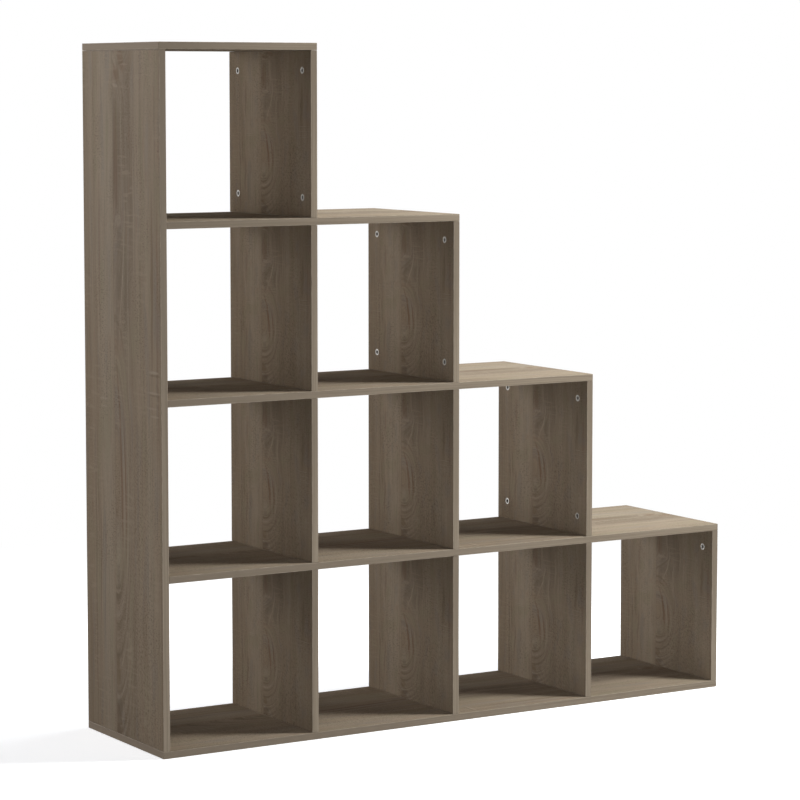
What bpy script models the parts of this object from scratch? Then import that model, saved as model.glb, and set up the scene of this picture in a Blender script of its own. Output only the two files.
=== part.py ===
"""Stepped cube bookcase of ten open compartments in four rows, each row one shorter than the row below.

Boards of one thickness make it. The level boards run through, the uprights stand between them, and the tall
left side takes the ends of the middle shelves. Cam connectors pull the outer joints together, dowels hold the
dividers, and screws from below hold what stands on the bottom board. Metres, +Z up, the front faces -Y, and
the origin is on the floor under the middle.
"""

import math

import bmesh
import bpy
from mathutils import Matrix, Vector

# Driving sizes of the carcass
COMPARTMENT_WIDTH = 0.335
COMPARTMENT_HEIGHT = 0.346
DEPTH = 0.355
BOARD_THICKNESS = 0.015
BOTTOM_COLUMNS = 4
EDGE_CHAMFER = 0.0005

# Clearances
SEAM_GAP = 0.0003
FIT_CLEARANCE = 0.0002
SURFACE_RECESS = 0.0003
CUT_OVERRUN = 0.003
MERGE_DISTANCE = 0.00001

# Cam of a cam connector, and where it sits in its board
CAM_DIAMETER = 0.0146
CAM_PAST_BOLT_AXIS = 0.0046
CAM_FROM_END = 0.041
CAM_FROM_EDGE = 0.037
CAM_DISH_DIAMETER = 0.0086
CAM_DISH_DEPTH = 0.0008
CAM_CROSS_LENGTH = 0.0070
CAM_CROSS_WIDTH = 0.0018
CAM_CROSS_TO_CLAW_WALL = 0.0009
CAM_CLAW_CLEARANCE = 0.0004
CAM_CORE_RADIUS = 0.0020

# Bolt of a cam connector, measured from the cam's axis towards the board that it screws into
BOLT_HEAD_IN_CORE = 0.0010
BOLT_HEAD_LENGTH = 0.0040
BOLT_HEAD_DIAMETER = 0.0054
BOLT_NECK_LENGTH = 0.0045
BOLT_NECK_DIAMETER = 0.0030
BOLT_SHANK_DIAMETER = 0.0060
BOLT_COLLAR_LENGTH = 0.0020
BOLT_COLLAR_DIAMETER = 0.0072
BOLT_THREAD_DIAMETER = 0.0050
BOLT_THREAD_LENGTH = 0.0105
BOLT_CHAMFER = 0.0008

# Dowels of the dividers
DOWEL_DIAMETER = 0.0080
DOWEL_IN_UPRIGHT = 0.020
DOWEL_IN_SHELF = 0.010
DOWEL_FROM_CAM = 0.032
DOWEL_FLUTE_DEPTH = 0.0004
DOWEL_CHAMFER = 0.0008

# Screws through the bottom board, up into the uprights
SCREW_LENGTH = 0.050
SCREW_FROM_EDGE = 0.050
SCREW_HEAD_DIAMETER = 0.0098
SCREW_HEAD_HEIGHT = 0.0042
SCREW_SHANK_DIAMETER = 0.0068
SCREW_THREAD_DIAMETER = 0.0066
SCREW_CORE_DIAMETER = 0.0046
SCREW_TIP_LENGTH = 0.0040
SCREW_SOCKET_WIDTH = 0.0040
SCREW_SOCKET_DEPTH = 0.0026

# Counts of sides, flutes and thread ridges, and the angle from which an edge shows sharp
CAM_SIDES = 14
BOLT_SIDES = 8
DOWEL_FLUTES = 8
DOWEL_BORE_SIDES = 10
SCREW_SIDES = 8
SCREW_RIDGES = 4
SOCKET_SIDES = 6
SHARP_ANGLE = math.radians(30)

# Worked out from the sizes above
COLUMN_PITCH = COMPARTMENT_WIDTH + BOARD_THICKNESS
LEVEL_PITCH = COMPARTMENT_HEIGHT + BOARD_THICKNESS
OVERALL_WIDTH = BOTTOM_COLUMNS * COLUMN_PITCH + BOARD_THICKNESS
TOP_LEVEL = BOTTOM_COLUMNS
HALF_BOARD = BOARD_THICKNESS / 2
FRONT = -DEPTH / 2
BACK = DEPTH / 2
CAM_HEIGHT = HALF_BOARD + CAM_PAST_BOLT_AXIS - SURFACE_RECESS
CAM_CLAW_WIDTH = BOLT_HEAD_DIAMETER + 2 * CAM_CLAW_CLEARANCE
CAM_CLAW_TOP = -HALF_BOARD + CAM_CLAW_WIDTH / 2
BOLT_HEAD_START = CAM_CORE_RADIUS - BOLT_HEAD_IN_CORE
DOWEL_FROM_EDGE = CAM_FROM_EDGE + DOWEL_FROM_CAM

UP = Vector((0, 0, 1))
DOWN = -UP
RIGHT = Vector((1, 0, 0))
LEFT = -RIGHT


def clear_scene():
    """Remove whatever the scene held."""
    for obj in list(bpy.data.objects):
        bpy.data.objects.remove(obj)


def new_collection(name):
    """A collection linked to the scene."""
    collection = bpy.data.collections.new(name)
    bpy.context.scene.collection.children.link(collection)
    return collection


def new_material(name, colour, roughness, metallic=0.0):
    """A plain finish: colour is linear red, green and blue."""
    material = bpy.data.materials.new(name)
    material.use_nodes = True
    shader = material.node_tree.nodes["Principled BSDF"]
    shader.inputs["Base Color"].default_value = (*colour, 1.0)
    shader.inputs["Roughness"].default_value = roughness
    shader.inputs["Metallic"].default_value = metallic
    return material


clear_scene()
PARTS = new_collection("stepped_bookcase")
CUTTERS = new_collection("cutters")
OAK_BOARD = new_material("grey_brown_oak_board", (0.205, 0.163, 0.122), 0.55)
ZINC = new_material("die_cast_zinc", (0.55, 0.55, 0.54), 0.38, 1.0)
BEECH = new_material("beech", (0.60, 0.42, 0.25), 0.60)
STEEL = new_material("zinc_plated_steel", (0.62, 0.62, 0.60), 0.32, 1.0)


# Places in the grid of compartments


def wall_left(column):
    """X of the left face of the uprights of a column; column 0 is the tall left side."""
    return -OVERALL_WIDTH / 2 + column * COLUMN_PITCH


def wall_middle(column):
    """X of the middle of the uprights of a column."""
    return wall_left(column) + HALF_BOARD


def board_bottom(level):
    """Z of the underside of a level board; level 0 is the bottom board."""
    return level * LEVEL_PITCH


def board_top(level):
    """Z of the upper side of a level board."""
    return board_bottom(level) + BOARD_THICKNESS


def end_column(row):
    """The column of the outer right side of a row of compartments; row 0 stands on the bottom board."""
    return BOTTOM_COLUMNS - row


def from_both_edges(distance):
    """Y of a pair of fittings, each that far from the front or the back edge, by name."""
    return {"front": FRONT + distance, "back": BACK - distance}


# Solids, helpers and cuts


def add_object(name, mesh, collection):
    """Link a mesh to a collection as an object."""
    obj = bpy.data.objects.new(name, mesh)
    collection.objects.link(obj)
    return obj


def as_helper(obj):
    """Keep an object out of the model: it only cuts, or joins, another."""
    obj.hide_render = True
    obj.display_type = "WIRE"
    return obj


def box(name, low, high, collection):
    """A box between two corners, its origin at its middle."""
    low, high = Vector(low), Vector(high)
    shape = bmesh.new()
    bmesh.ops.create_cube(shape, size=1.0, matrix=Matrix.Diagonal((*(high - low), 1.0)))
    mesh = bpy.data.meshes.new(name)
    shape.to_mesh(mesh)
    shape.free()
    obj = add_object(name, mesh, collection)
    obj.location = (low + high) / 2
    return obj


def round_bar(name, start, end, radius, sides, collection):
    """A round bar from one point to another."""
    start, end = Vector(start), Vector(end)
    shape = bmesh.new()
    bmesh.ops.create_cone(
        shape, cap_ends=True, segments=sides, radius1=radius, radius2=radius, depth=(end - start).length
    )
    mesh = bpy.data.meshes.new(name)
    shape.to_mesh(mesh)
    shape.free()
    obj = add_object(name, mesh, collection)
    obj.rotation_euler = (end - start).to_track_quat("Z", "Y").to_euler()
    obj.location = (start + end) / 2
    return obj


def turned(name, profile, sides, collection):
    """A turned shape round Z. The profile is (radius, z) points, from the top down its outer side."""
    shape = bmesh.new()
    corners = [shape.verts.new((radius, 0, z)) for radius, z in profile]
    for upper, lower in zip(corners, corners[1:]):
        shape.edges.new((upper, lower))
    mesh = bpy.data.meshes.new(name)
    shape.to_mesh(mesh)
    shape.free()
    obj = add_object(name, mesh, collection)
    screw = obj.modifiers.new("turn", "SCREW")
    screw.steps = sides
    screw.render_steps = sides
    screw.use_merge_vertices = True
    screw.merge_threshold = MERGE_DISTANCE
    return obj


def combine(obj, other, operation):
    """Cut another shape out of this one, or join it on."""
    modifier = obj.modifiers.new(f"{operation.lower()}_{other.name}", "BOOLEAN")
    modifier.operation = operation
    modifier.object = as_helper(other)


def frozen_mesh(obj, name):
    """The finished mesh of an object whose modifiers are done with; the object and its helpers go."""
    bpy.context.view_layer.update()
    helpers = [modifier.object for modifier in obj.modifiers if modifier.type == "BOOLEAN"]
    graph = bpy.context.evaluated_depsgraph_get()
    mesh = bpy.data.meshes.new_from_object(obj.evaluated_get(graph))
    mesh.name = name
    mesh.transform(obj.matrix_world)
    mesh.shade_smooth()
    mesh.set_sharp_from_angle(angle=SHARP_ANGLE)
    for used in [obj, *helpers]:
        bpy.data.objects.remove(used)
    return mesh


def bore_radius(radius, sides):
    """Radius of a faceted bore whose flats clear a round piece of that radius."""
    return (radius + FIT_CLEARANCE) / math.cos(math.pi / sides)


def drill(board, start, end, diameter, sides):
    """A round bore for a piece of that diameter, from a point outside the board to its end inside it."""
    name = f"bore_{board.name}_{len(board.modifiers)}"
    cutter = round_bar(name, start, end, bore_radius(diameter / 2, sides), sides, CUTTERS)
    combine(board, cutter, "DIFFERENCE")


def add_board(name, low, high):
    """A board with its thin arrises broken, ready to be drilled."""
    board = box(name, low, high, PARTS)
    board.data.materials.append(OAK_BOARD)
    chamfer = board.modifiers.new("arris", "BEVEL")
    chamfer.width = EDGE_CHAMFER
    chamfer.segments = 1
    return board


def add_piece(name, mesh, location, rotation=None):
    """A fitting that shares its mesh with its twins."""
    piece = add_object(name, mesh, PARTS)
    piece.location = location
    if rotation is not None:
        piece.rotation_euler = rotation.to_euler()
    return piece


# Boards


def add_level_boards():
    """The boards that lie flat, by level, from the bottom board to the top board."""
    names = {0: "bottom_board", TOP_LEVEL: "top_board"}
    boards = {}
    for level in range(TOP_LEVEL + 1):
        last_column = min(BOTTOM_COLUMNS, end_column(level) + 1)
        start = wall_left(0)
        if level not in names:
            start += BOARD_THICKNESS + SEAM_GAP
        boards[level] = add_board(
            names.get(level, f"shelf_level_{level}"),
            (start, FRONT, board_bottom(level)),
            (wall_left(last_column) + BOARD_THICKNESS, BACK, board_top(level)),
        )
    return boards


def add_upright(name, column, lower_level, upper_level):
    """A board that stands between two level boards."""
    return add_board(
        name,
        (wall_left(column), FRONT, board_top(lower_level) + SEAM_GAP),
        (wall_left(column) + BOARD_THICKNESS, BACK, board_bottom(upper_level) - SEAM_GAP),
    )


def add_uprights():
    """The tall left side, and the uprights of each row by (row, column)."""
    left_side = add_upright("left_side", 0, 0, TOP_LEVEL)
    uprights = {}
    for row in range(TOP_LEVEL):
        for column in range(1, end_column(row) + 1):
            name = f"divider_row_{row + 1}_{column}"
            if column == end_column(row):
                name = f"right_side_row_{row + 1}"
            uprights[row, column] = add_upright(name, column, row, row + 1)
    return left_side, uprights


# Cam connectors: a cam in the face of one board, and its bolt, which screws into the board at its end


def bolt_profile():
    """Outline of a connector bolt along +Z from the cam's axis, from its tip back to its head."""
    head_end = BOLT_HEAD_START + BOLT_HEAD_LENGTH
    neck_end = head_end + BOLT_NECK_LENGTH
    collar_start = CAM_FROM_END - BOLT_COLLAR_LENGTH
    tip = CAM_FROM_END + SEAM_GAP + BOLT_THREAD_LENGTH
    return [
        (0, tip),
        (BOLT_THREAD_DIAMETER / 2 - BOLT_CHAMFER, tip),
        (BOLT_THREAD_DIAMETER / 2, tip - BOLT_CHAMFER),
        (BOLT_THREAD_DIAMETER / 2, CAM_FROM_END),
        (BOLT_COLLAR_DIAMETER / 2, CAM_FROM_END),
        (BOLT_COLLAR_DIAMETER / 2, collar_start),
        (BOLT_SHANK_DIAMETER / 2, collar_start),
        (BOLT_SHANK_DIAMETER / 2, neck_end),
        (BOLT_NECK_DIAMETER / 2, neck_end),
        (BOLT_NECK_DIAMETER / 2, head_end),
        (BOLT_HEAD_DIAMETER / 2, head_end - BOLT_CHAMFER),
        (BOLT_HEAD_DIAMETER / 2, BOLT_HEAD_START + BOLT_CHAMFER),
        (BOLT_HEAD_DIAMETER / 2 - BOLT_CHAMFER, BOLT_HEAD_START),
        (0, BOLT_HEAD_START),
    ]


def cam_connector_mesh():
    """A tightened connector: its bolt's head is held in the cam's claw.

    The cam's axis is Z, its slotted end faces +Z just under the board's face at z = 0, and the bolt runs +X.
    """
    top = -SURFACE_RECESS
    cam = round_bar("cam", (0, 0, top - CAM_HEIGHT), (0, 0, top), CAM_DIAMETER / 2, CAM_SIDES, PARTS)
    dish_floor = (0, 0, top - CAM_DISH_DEPTH)
    dish = round_bar("cam_dish", dish_floor, (0, 0, CUT_OVERRUN), CAM_DISH_DIAMETER / 2, BOLT_SIDES, CUTTERS)
    combine(cam, dish, "DIFFERENCE")
    half_length, half_width = CAM_CROSS_LENGTH / 2, CAM_CROSS_WIDTH / 2
    for name, x, y in (("cam_slot_x", half_length, half_width), ("cam_slot_y", half_width, half_length)):
        slot = box(name, (-x, -y, CAM_CLAW_TOP + CAM_CROSS_TO_CLAW_WALL), (x, y, CUT_OVERRUN), CUTTERS)
        combine(cam, slot, "DIFFERENCE")
    claw = box(
        "cam_claw",
        (CAM_CORE_RADIUS, -CAM_CLAW_WIDTH / 2, CAM_CLAW_TOP - CAM_CLAW_WIDTH),
        (CAM_DIAMETER / 2 + CUT_OVERRUN, CAM_CLAW_WIDTH / 2, CAM_CLAW_TOP),
        CUTTERS,
    )
    combine(cam, claw, "DIFFERENCE")
    bolt = turned("bolt", bolt_profile(), BOLT_SIDES, CUTTERS)
    bolt.location = (0, 0, -HALF_BOARD)
    bolt.rotation_euler = (0, math.pi / 2, 0)
    combine(cam, bolt, "UNION")
    mesh = frozen_mesh(cam, "cam_connector")
    mesh.materials.clear()
    mesh.materials.append(ZINC)
    return mesh


def add_cam_connector(name, mesh, cam_board, screwed_board, centre, face, along):
    """Fit a connector: centre is on the cam board's face, face points out of it, along is the bolt's way."""
    centre = Vector(centre)
    turn = Matrix((along, face.cross(along), face)).transposed()
    add_piece(name, mesh, centre, turn)
    cam_depth = SURFACE_RECESS + CAM_HEIGHT + FIT_CLEARANCE
    drill(cam_board, centre + face * CUT_OVERRUN, centre - face * cam_depth, CAM_DIAMETER, CAM_SIDES)
    axis = centre - face * HALF_BOARD
    board_end = axis + along * CAM_FROM_END
    drill(cam_board, board_end + along * CUT_OVERRUN, axis, BOLT_COLLAR_DIAMETER, BOLT_SIDES)
    thread_end = board_end + along * (SEAM_GAP + BOLT_THREAD_LENGTH + FIT_CLEARANCE)
    drill(screwed_board, board_end - along * CUT_OVERRUN, thread_end, BOLT_THREAD_DIAMETER, BOLT_SIDES)


def add_cam_connectors(left_side, boards, uprights):
    """The connectors of the right sides, of the top board on the left side, and of the shelves' left ends."""
    mesh = cam_connector_mesh()
    for place, y in from_both_edges(CAM_FROM_EDGE).items():
        left_top = board_bottom(TOP_LEVEL) - SEAM_GAP - CAM_FROM_END
        add_cam_connector(
            f"cam_left_side_top_{place}",
            mesh,
            left_side,
            boards[TOP_LEVEL],
            (wall_left(0) + BOARD_THICKNESS, y, left_top),
            RIGHT,
            UP,
        )
        for level in range(1, TOP_LEVEL):
            shelf_cam = wall_left(0) + BOARD_THICKNESS + SEAM_GAP + CAM_FROM_END
            add_cam_connector(
                f"cam_shelf_level_{level}_{place}",
                mesh,
                boards[level],
                left_side,
                (shelf_cam, y, board_bottom(level)),
                DOWN,
                LEFT,
            )
        for row in range(TOP_LEVEL):
            column = end_column(row)
            side = uprights[row, column]
            high = board_bottom(row + 1) - SEAM_GAP - CAM_FROM_END
            low = board_top(row) + SEAM_GAP + CAM_FROM_END
            ends = {"top": (high, boards[row + 1], UP)}
            if row > 0:
                ends["bottom"] = (low, boards[row], DOWN)
            for end, (z, screwed_board, along) in ends.items():
                add_cam_connector(
                    f"cam_right_side_row_{row + 1}_{end}_{place}",
                    mesh,
                    side,
                    screwed_board,
                    (wall_left(column), y, z),
                    LEFT,
                    along,
                )


# Dowels


def dowel_mesh(name, length):
    """A fluted dowel along Z, centred on its middle."""
    points = []
    for step in range(2 * DOWEL_FLUTES):
        angle = math.pi * step / DOWEL_FLUTES
        radius = DOWEL_DIAMETER / 2 - (DOWEL_FLUTE_DEPTH if step % 2 else 0)
        points.append((radius * math.cos(angle), radius * math.sin(angle)))
    outline = bpy.data.curves.new(name, "CURVE")
    outline.dimensions = "2D"
    outline.fill_mode = "BOTH"
    outline.extrude = length / 2 - DOWEL_CHAMFER
    outline.bevel_depth = DOWEL_CHAMFER
    outline.bevel_resolution = 0
    outline.offset = -DOWEL_CHAMFER
    spline = outline.splines.new("POLY")
    spline.points.add(len(points) - 1)
    for corner, (x, y) in zip(spline.points, points):
        corner.co = (x, y, 0, 1)
    spline.use_cyclic_u = True
    mesh = frozen_mesh(add_object(name, outline, PARTS), name)
    mesh.materials.append(BEECH)
    return mesh


def add_dowel(name, mesh, centre, bores):
    """Fit a dowel, and bore its hole in each board: bores holds (board, z of the mouth, z of the end)."""
    x, y, _ = centre
    add_piece(name, mesh, centre)
    for board, mouth, end in bores:
        drill(board, (x, y, mouth), (x, y, end), DOWEL_DIAMETER, DOWEL_BORE_SIDES)


def add_dowels(boards, uprights):
    """Through dowels where dividers stand over each other, short ones where an outer side stands over one."""
    long_half = HALF_BOARD + SEAM_GAP + DOWEL_IN_UPRIGHT
    short_length = DOWEL_IN_SHELF + SEAM_GAP + DOWEL_IN_UPRIGHT
    long_mesh = dowel_mesh("long_dowel", 2 * long_half)
    short_mesh = dowel_mesh("short_dowel", short_length)
    for level in range(1, TOP_LEVEL):
        shelf = boards[level]
        under, over = board_bottom(level), board_top(level)
        divider_top = under - SEAM_GAP
        low_end = divider_top - DOWEL_IN_UPRIGHT - FIT_CLEARANCE
        for column in range(1, end_column(level) + 1):
            x = wall_middle(column)
            through = column < end_column(level)
            for place, y in from_both_edges(DOWEL_FROM_EDGE).items():
                name = f"dowel_shelf_level_{level}_column_{column}_{place}"
                below = (uprights[level - 1, column], divider_top + CUT_OVERRUN, low_end)
                if through:
                    high_end = over + SEAM_GAP + DOWEL_IN_UPRIGHT + FIT_CLEARANCE
                    above = (uprights[level, column], over - CUT_OVERRUN, high_end)
                    hole = (shelf, under - CUT_OVERRUN, over + CUT_OVERRUN)
                    add_dowel(name, long_mesh, (x, y, under + HALF_BOARD), [below, hole, above])
                else:
                    top = under + DOWEL_IN_SHELF
                    hole = (shelf, under - CUT_OVERRUN, top + FIT_CLEARANCE)
                    add_dowel(name, short_mesh, (x, y, top - short_length / 2), [below, hole])


# Screws of the bottom board


def screw_profile():
    """Outline of a screw that stands head down, its head's face at z = 0, from its tip down."""
    shank_end = BOARD_THICKNESS - SURFACE_RECESS
    thread_end = SCREW_LENGTH - SCREW_TIP_LENGTH
    ridge = (thread_end - shank_end) / SCREW_RIDGES
    points = [(0, SCREW_LENGTH)]
    for step in range(SCREW_RIDGES):
        points.append((SCREW_CORE_DIAMETER / 2, thread_end - step * ridge))
        points.append((SCREW_THREAD_DIAMETER / 2, thread_end - step * ridge - ridge / 2))
    points += [
        (SCREW_CORE_DIAMETER / 2, shank_end),
        (SCREW_SHANK_DIAMETER / 2, shank_end - (SCREW_SHANK_DIAMETER - SCREW_CORE_DIAMETER) / 2),
        (SCREW_SHANK_DIAMETER / 2, SCREW_HEAD_HEIGHT),
        (SCREW_HEAD_DIAMETER / 2, 0),
        (0, 0),
    ]
    return points


def screw_mesh():
    """A countersunk furniture screw with a six-sided socket."""
    screw = turned("screw", screw_profile(), SCREW_SIDES, PARTS)
    socket_radius = SCREW_SOCKET_WIDTH / 2 / math.cos(math.pi / SOCKET_SIDES)
    socket = round_bar(
        "screw_socket", (0, 0, -CUT_OVERRUN), (0, 0, SCREW_SOCKET_DEPTH), socket_radius, SOCKET_SIDES, CUTTERS
    )
    combine(screw, socket, "DIFFERENCE")
    mesh = frozen_mesh(screw, "screw")
    mesh.materials.clear()
    mesh.materials.append(STEEL)
    return mesh


def screw_hole_profile():
    """Outline of the countersunk hole in the bottom board, clear of the screw all round, top down."""
    shank = bore_radius(SCREW_SHANK_DIAMETER / 2, SCREW_SIDES)
    head = bore_radius(SCREW_HEAD_DIAMETER / 2, SCREW_SIDES)
    return [
        (0, BOARD_THICKNESS + CUT_OVERRUN),
        (shank, BOARD_THICKNESS + CUT_OVERRUN),
        (shank, SURFACE_RECESS + SCREW_HEAD_HEIGHT + FIT_CLEARANCE),
        (head, SURFACE_RECESS + FIT_CLEARANCE),
        (head, -CUT_OVERRUN),
        (0, -CUT_OVERRUN),
    ]


def add_screws(left_side, boards, uprights):
    """Two screws for each upright that stands on the bottom board."""
    mesh = screw_mesh()
    for column in range(BOTTOM_COLUMNS + 1):
        upright = uprights[0, column] if column else left_side
        x = wall_middle(column)
        for place, y in from_both_edges(SCREW_FROM_EDGE).items():
            add_piece(f"screw_column_{column}_{place}", mesh, (x, y, SURFACE_RECESS))
            hole = turned(f"screw_hole_{column}_{place}", screw_hole_profile(), SCREW_SIDES, CUTTERS)
            hole.location = (x, y, 0)
            combine(boards[0], hole, "DIFFERENCE")
            pilot_end = SURFACE_RECESS + SCREW_LENGTH + FIT_CLEARANCE
            mouth = board_top(0) - CUT_OVERRUN
            drill(upright, (x, y, mouth), (x, y, pilot_end), SCREW_THREAD_DIAMETER, SCREW_SIDES)


def main():
    """Build the bookcase."""
    boards = add_level_boards()
    left_side, uprights = add_uprights()
    add_cam_connectors(left_side, boards, uprights)
    add_dowels(boards, uprights)
    add_screws(left_side, boards, uprights)


main()
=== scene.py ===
"""Looks of a stepped cube bookcase: melamine boards with edge bands, cam connectors, dowels and screws.

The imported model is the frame. Every board and fitting is replaced by a finer mesh in the same place, with a
procedural finish. Metres, +Z up, the front faces -Y.
"""

import logging
import math
from dataclasses import asdict, dataclass, field
from enum import Enum, IntEnum
from itertools import count
from typing import Iterable, Sequence

import bmesh
import bpy
from mathutils import Matrix, Vector


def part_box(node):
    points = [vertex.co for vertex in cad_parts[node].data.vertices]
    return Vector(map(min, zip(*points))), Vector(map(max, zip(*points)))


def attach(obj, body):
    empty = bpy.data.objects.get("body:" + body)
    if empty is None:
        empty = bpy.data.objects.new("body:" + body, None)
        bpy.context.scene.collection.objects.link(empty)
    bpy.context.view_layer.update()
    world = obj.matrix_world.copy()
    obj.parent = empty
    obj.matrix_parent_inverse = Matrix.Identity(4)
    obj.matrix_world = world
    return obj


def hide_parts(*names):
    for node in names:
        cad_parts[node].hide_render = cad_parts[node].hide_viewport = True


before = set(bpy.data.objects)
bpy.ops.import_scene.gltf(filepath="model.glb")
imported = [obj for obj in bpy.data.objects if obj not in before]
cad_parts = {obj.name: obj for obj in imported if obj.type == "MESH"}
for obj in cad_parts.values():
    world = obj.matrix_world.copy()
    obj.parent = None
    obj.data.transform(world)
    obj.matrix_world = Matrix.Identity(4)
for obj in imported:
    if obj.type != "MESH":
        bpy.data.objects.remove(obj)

LOG = logging.getLogger("bookcase")
BODY = "root"
GRAIN_MAP = "grain"
FIGURE_MAP = "figure"

X, Y, Z = range(3)
SQUARE_ON = 0.999
UP = Vector((0, 0, 1))
DOWN = -UP
RIGHT = Vector((1, 0, 0))
LEFT = -RIGHT
HERE = Matrix.Identity(4)

Colour = tuple[float, float, float]
Point = tuple[float, float, float]
Ring = list[Point]
FlatPoint = tuple[float, float]
Outline = Sequence[FlatPoint]
Shape = bmesh.types.BMesh
Mesh = bpy.types.Mesh
Material = bpy.types.Material
Tree = bpy.types.NodeTree

WHITE: Colour = (1.0, 1.0, 1.0)


class Slot(Enum):
    """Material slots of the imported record."""

    OAK_BOARD = "grey_brown_oak_board"
    ZINC = "die_cast_zinc"
    BEECH = "beech"
    STEEL = "zinc_plated_steel"


class Skin(IntEnum):
    """Material index of each kind of surface on a board."""

    DECOR = 0
    BAND = 1
    GLUE_LINE = 2
    CORE = 3


class CamSkin(IntEnum):
    """Material index of each kind of surface on a cam connector."""

    DRUM = 0
    RECESS = 1
    BOLT = 2


class Run(Enum):
    """The way a board's grain runs, as the index of its long axis."""

    LEVEL = X
    UPRIGHT = Z


@dataclass(frozen=True)
class CarcassPlan:
    """Driving sizes of the carcass, and the grid that they make."""

    compartment_width: float = 0.335
    compartment_height: float = 0.346
    depth: float = 0.355
    thickness: float = 0.015
    columns: int = 4
    seam_gap: float = 0.0003

    @property
    def half_board(self) -> float:
        """Half of a board's thickness."""
        return self.thickness / 2

    @property
    def top_level(self) -> int:
        """The level of the top board."""
        return self.columns

    def wall_left(self, column: int) -> float:
        """X of the left face of a column's uprights."""
        pitch = self.compartment_width + self.thickness
        return column * pitch - (self.columns * pitch + self.thickness) / 2

    def wall_middle(self, column: int) -> float:
        """X of the middle of a column's uprights."""
        return self.wall_left(column) + self.half_board

    def board_bottom(self, level: int) -> float:
        """Z of the underside of a level board."""
        return level * (self.compartment_height + self.thickness)

    def board_top(self, level: int) -> float:
        """Z of the upper side of a level board."""
        return self.board_bottom(level) + self.thickness

    def end_column(self, row: int) -> int:
        """The column of the outer right side of a row, where row 0 is the lowest."""
        return self.columns - row

    def both_edges(self, distance: float) -> dict[str, float]:
        """Y of a pair of fittings, each that far from the front or the back edge, by name."""
        return {"front": distance - self.depth / 2, "back": self.depth / 2 - distance}


PLAN = CarcassPlan()


# Node trees


class Wire:
    """An output of a node. Sums of wires add Math nodes to their sheet."""

    def __init__(self, sheet: "NodeSheet", socket: bpy.types.NodeSocket) -> None:
        """Hold an output of a sheet's tree."""
        self.sheet, self.socket = sheet, socket

    def __add__(self, other: "Value") -> "Wire":
        """The sum."""
        return self.sheet.math("ADD", self, other)

    def __sub__(self, other: "Value") -> "Wire":
        """The difference."""
        return self.sheet.math("SUBTRACT", self, other)

    def __rsub__(self, other: float) -> "Wire":
        """The difference from a number."""
        return self.sheet.math("SUBTRACT", other, self)

    def __mul__(self, other: "Value") -> "Wire":
        """The product."""
        return self.sheet.math("MULTIPLY", self, other)

    def __truediv__(self, other: "Value") -> "Wire":
        """The quotient."""
        return self.sheet.math("DIVIDE", self, other)


Value = Wire | float | Sequence[float]
Inputs = Sequence[Value] | dict[int | str, Value]
Outputs = dict[int | str, Wire]


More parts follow.
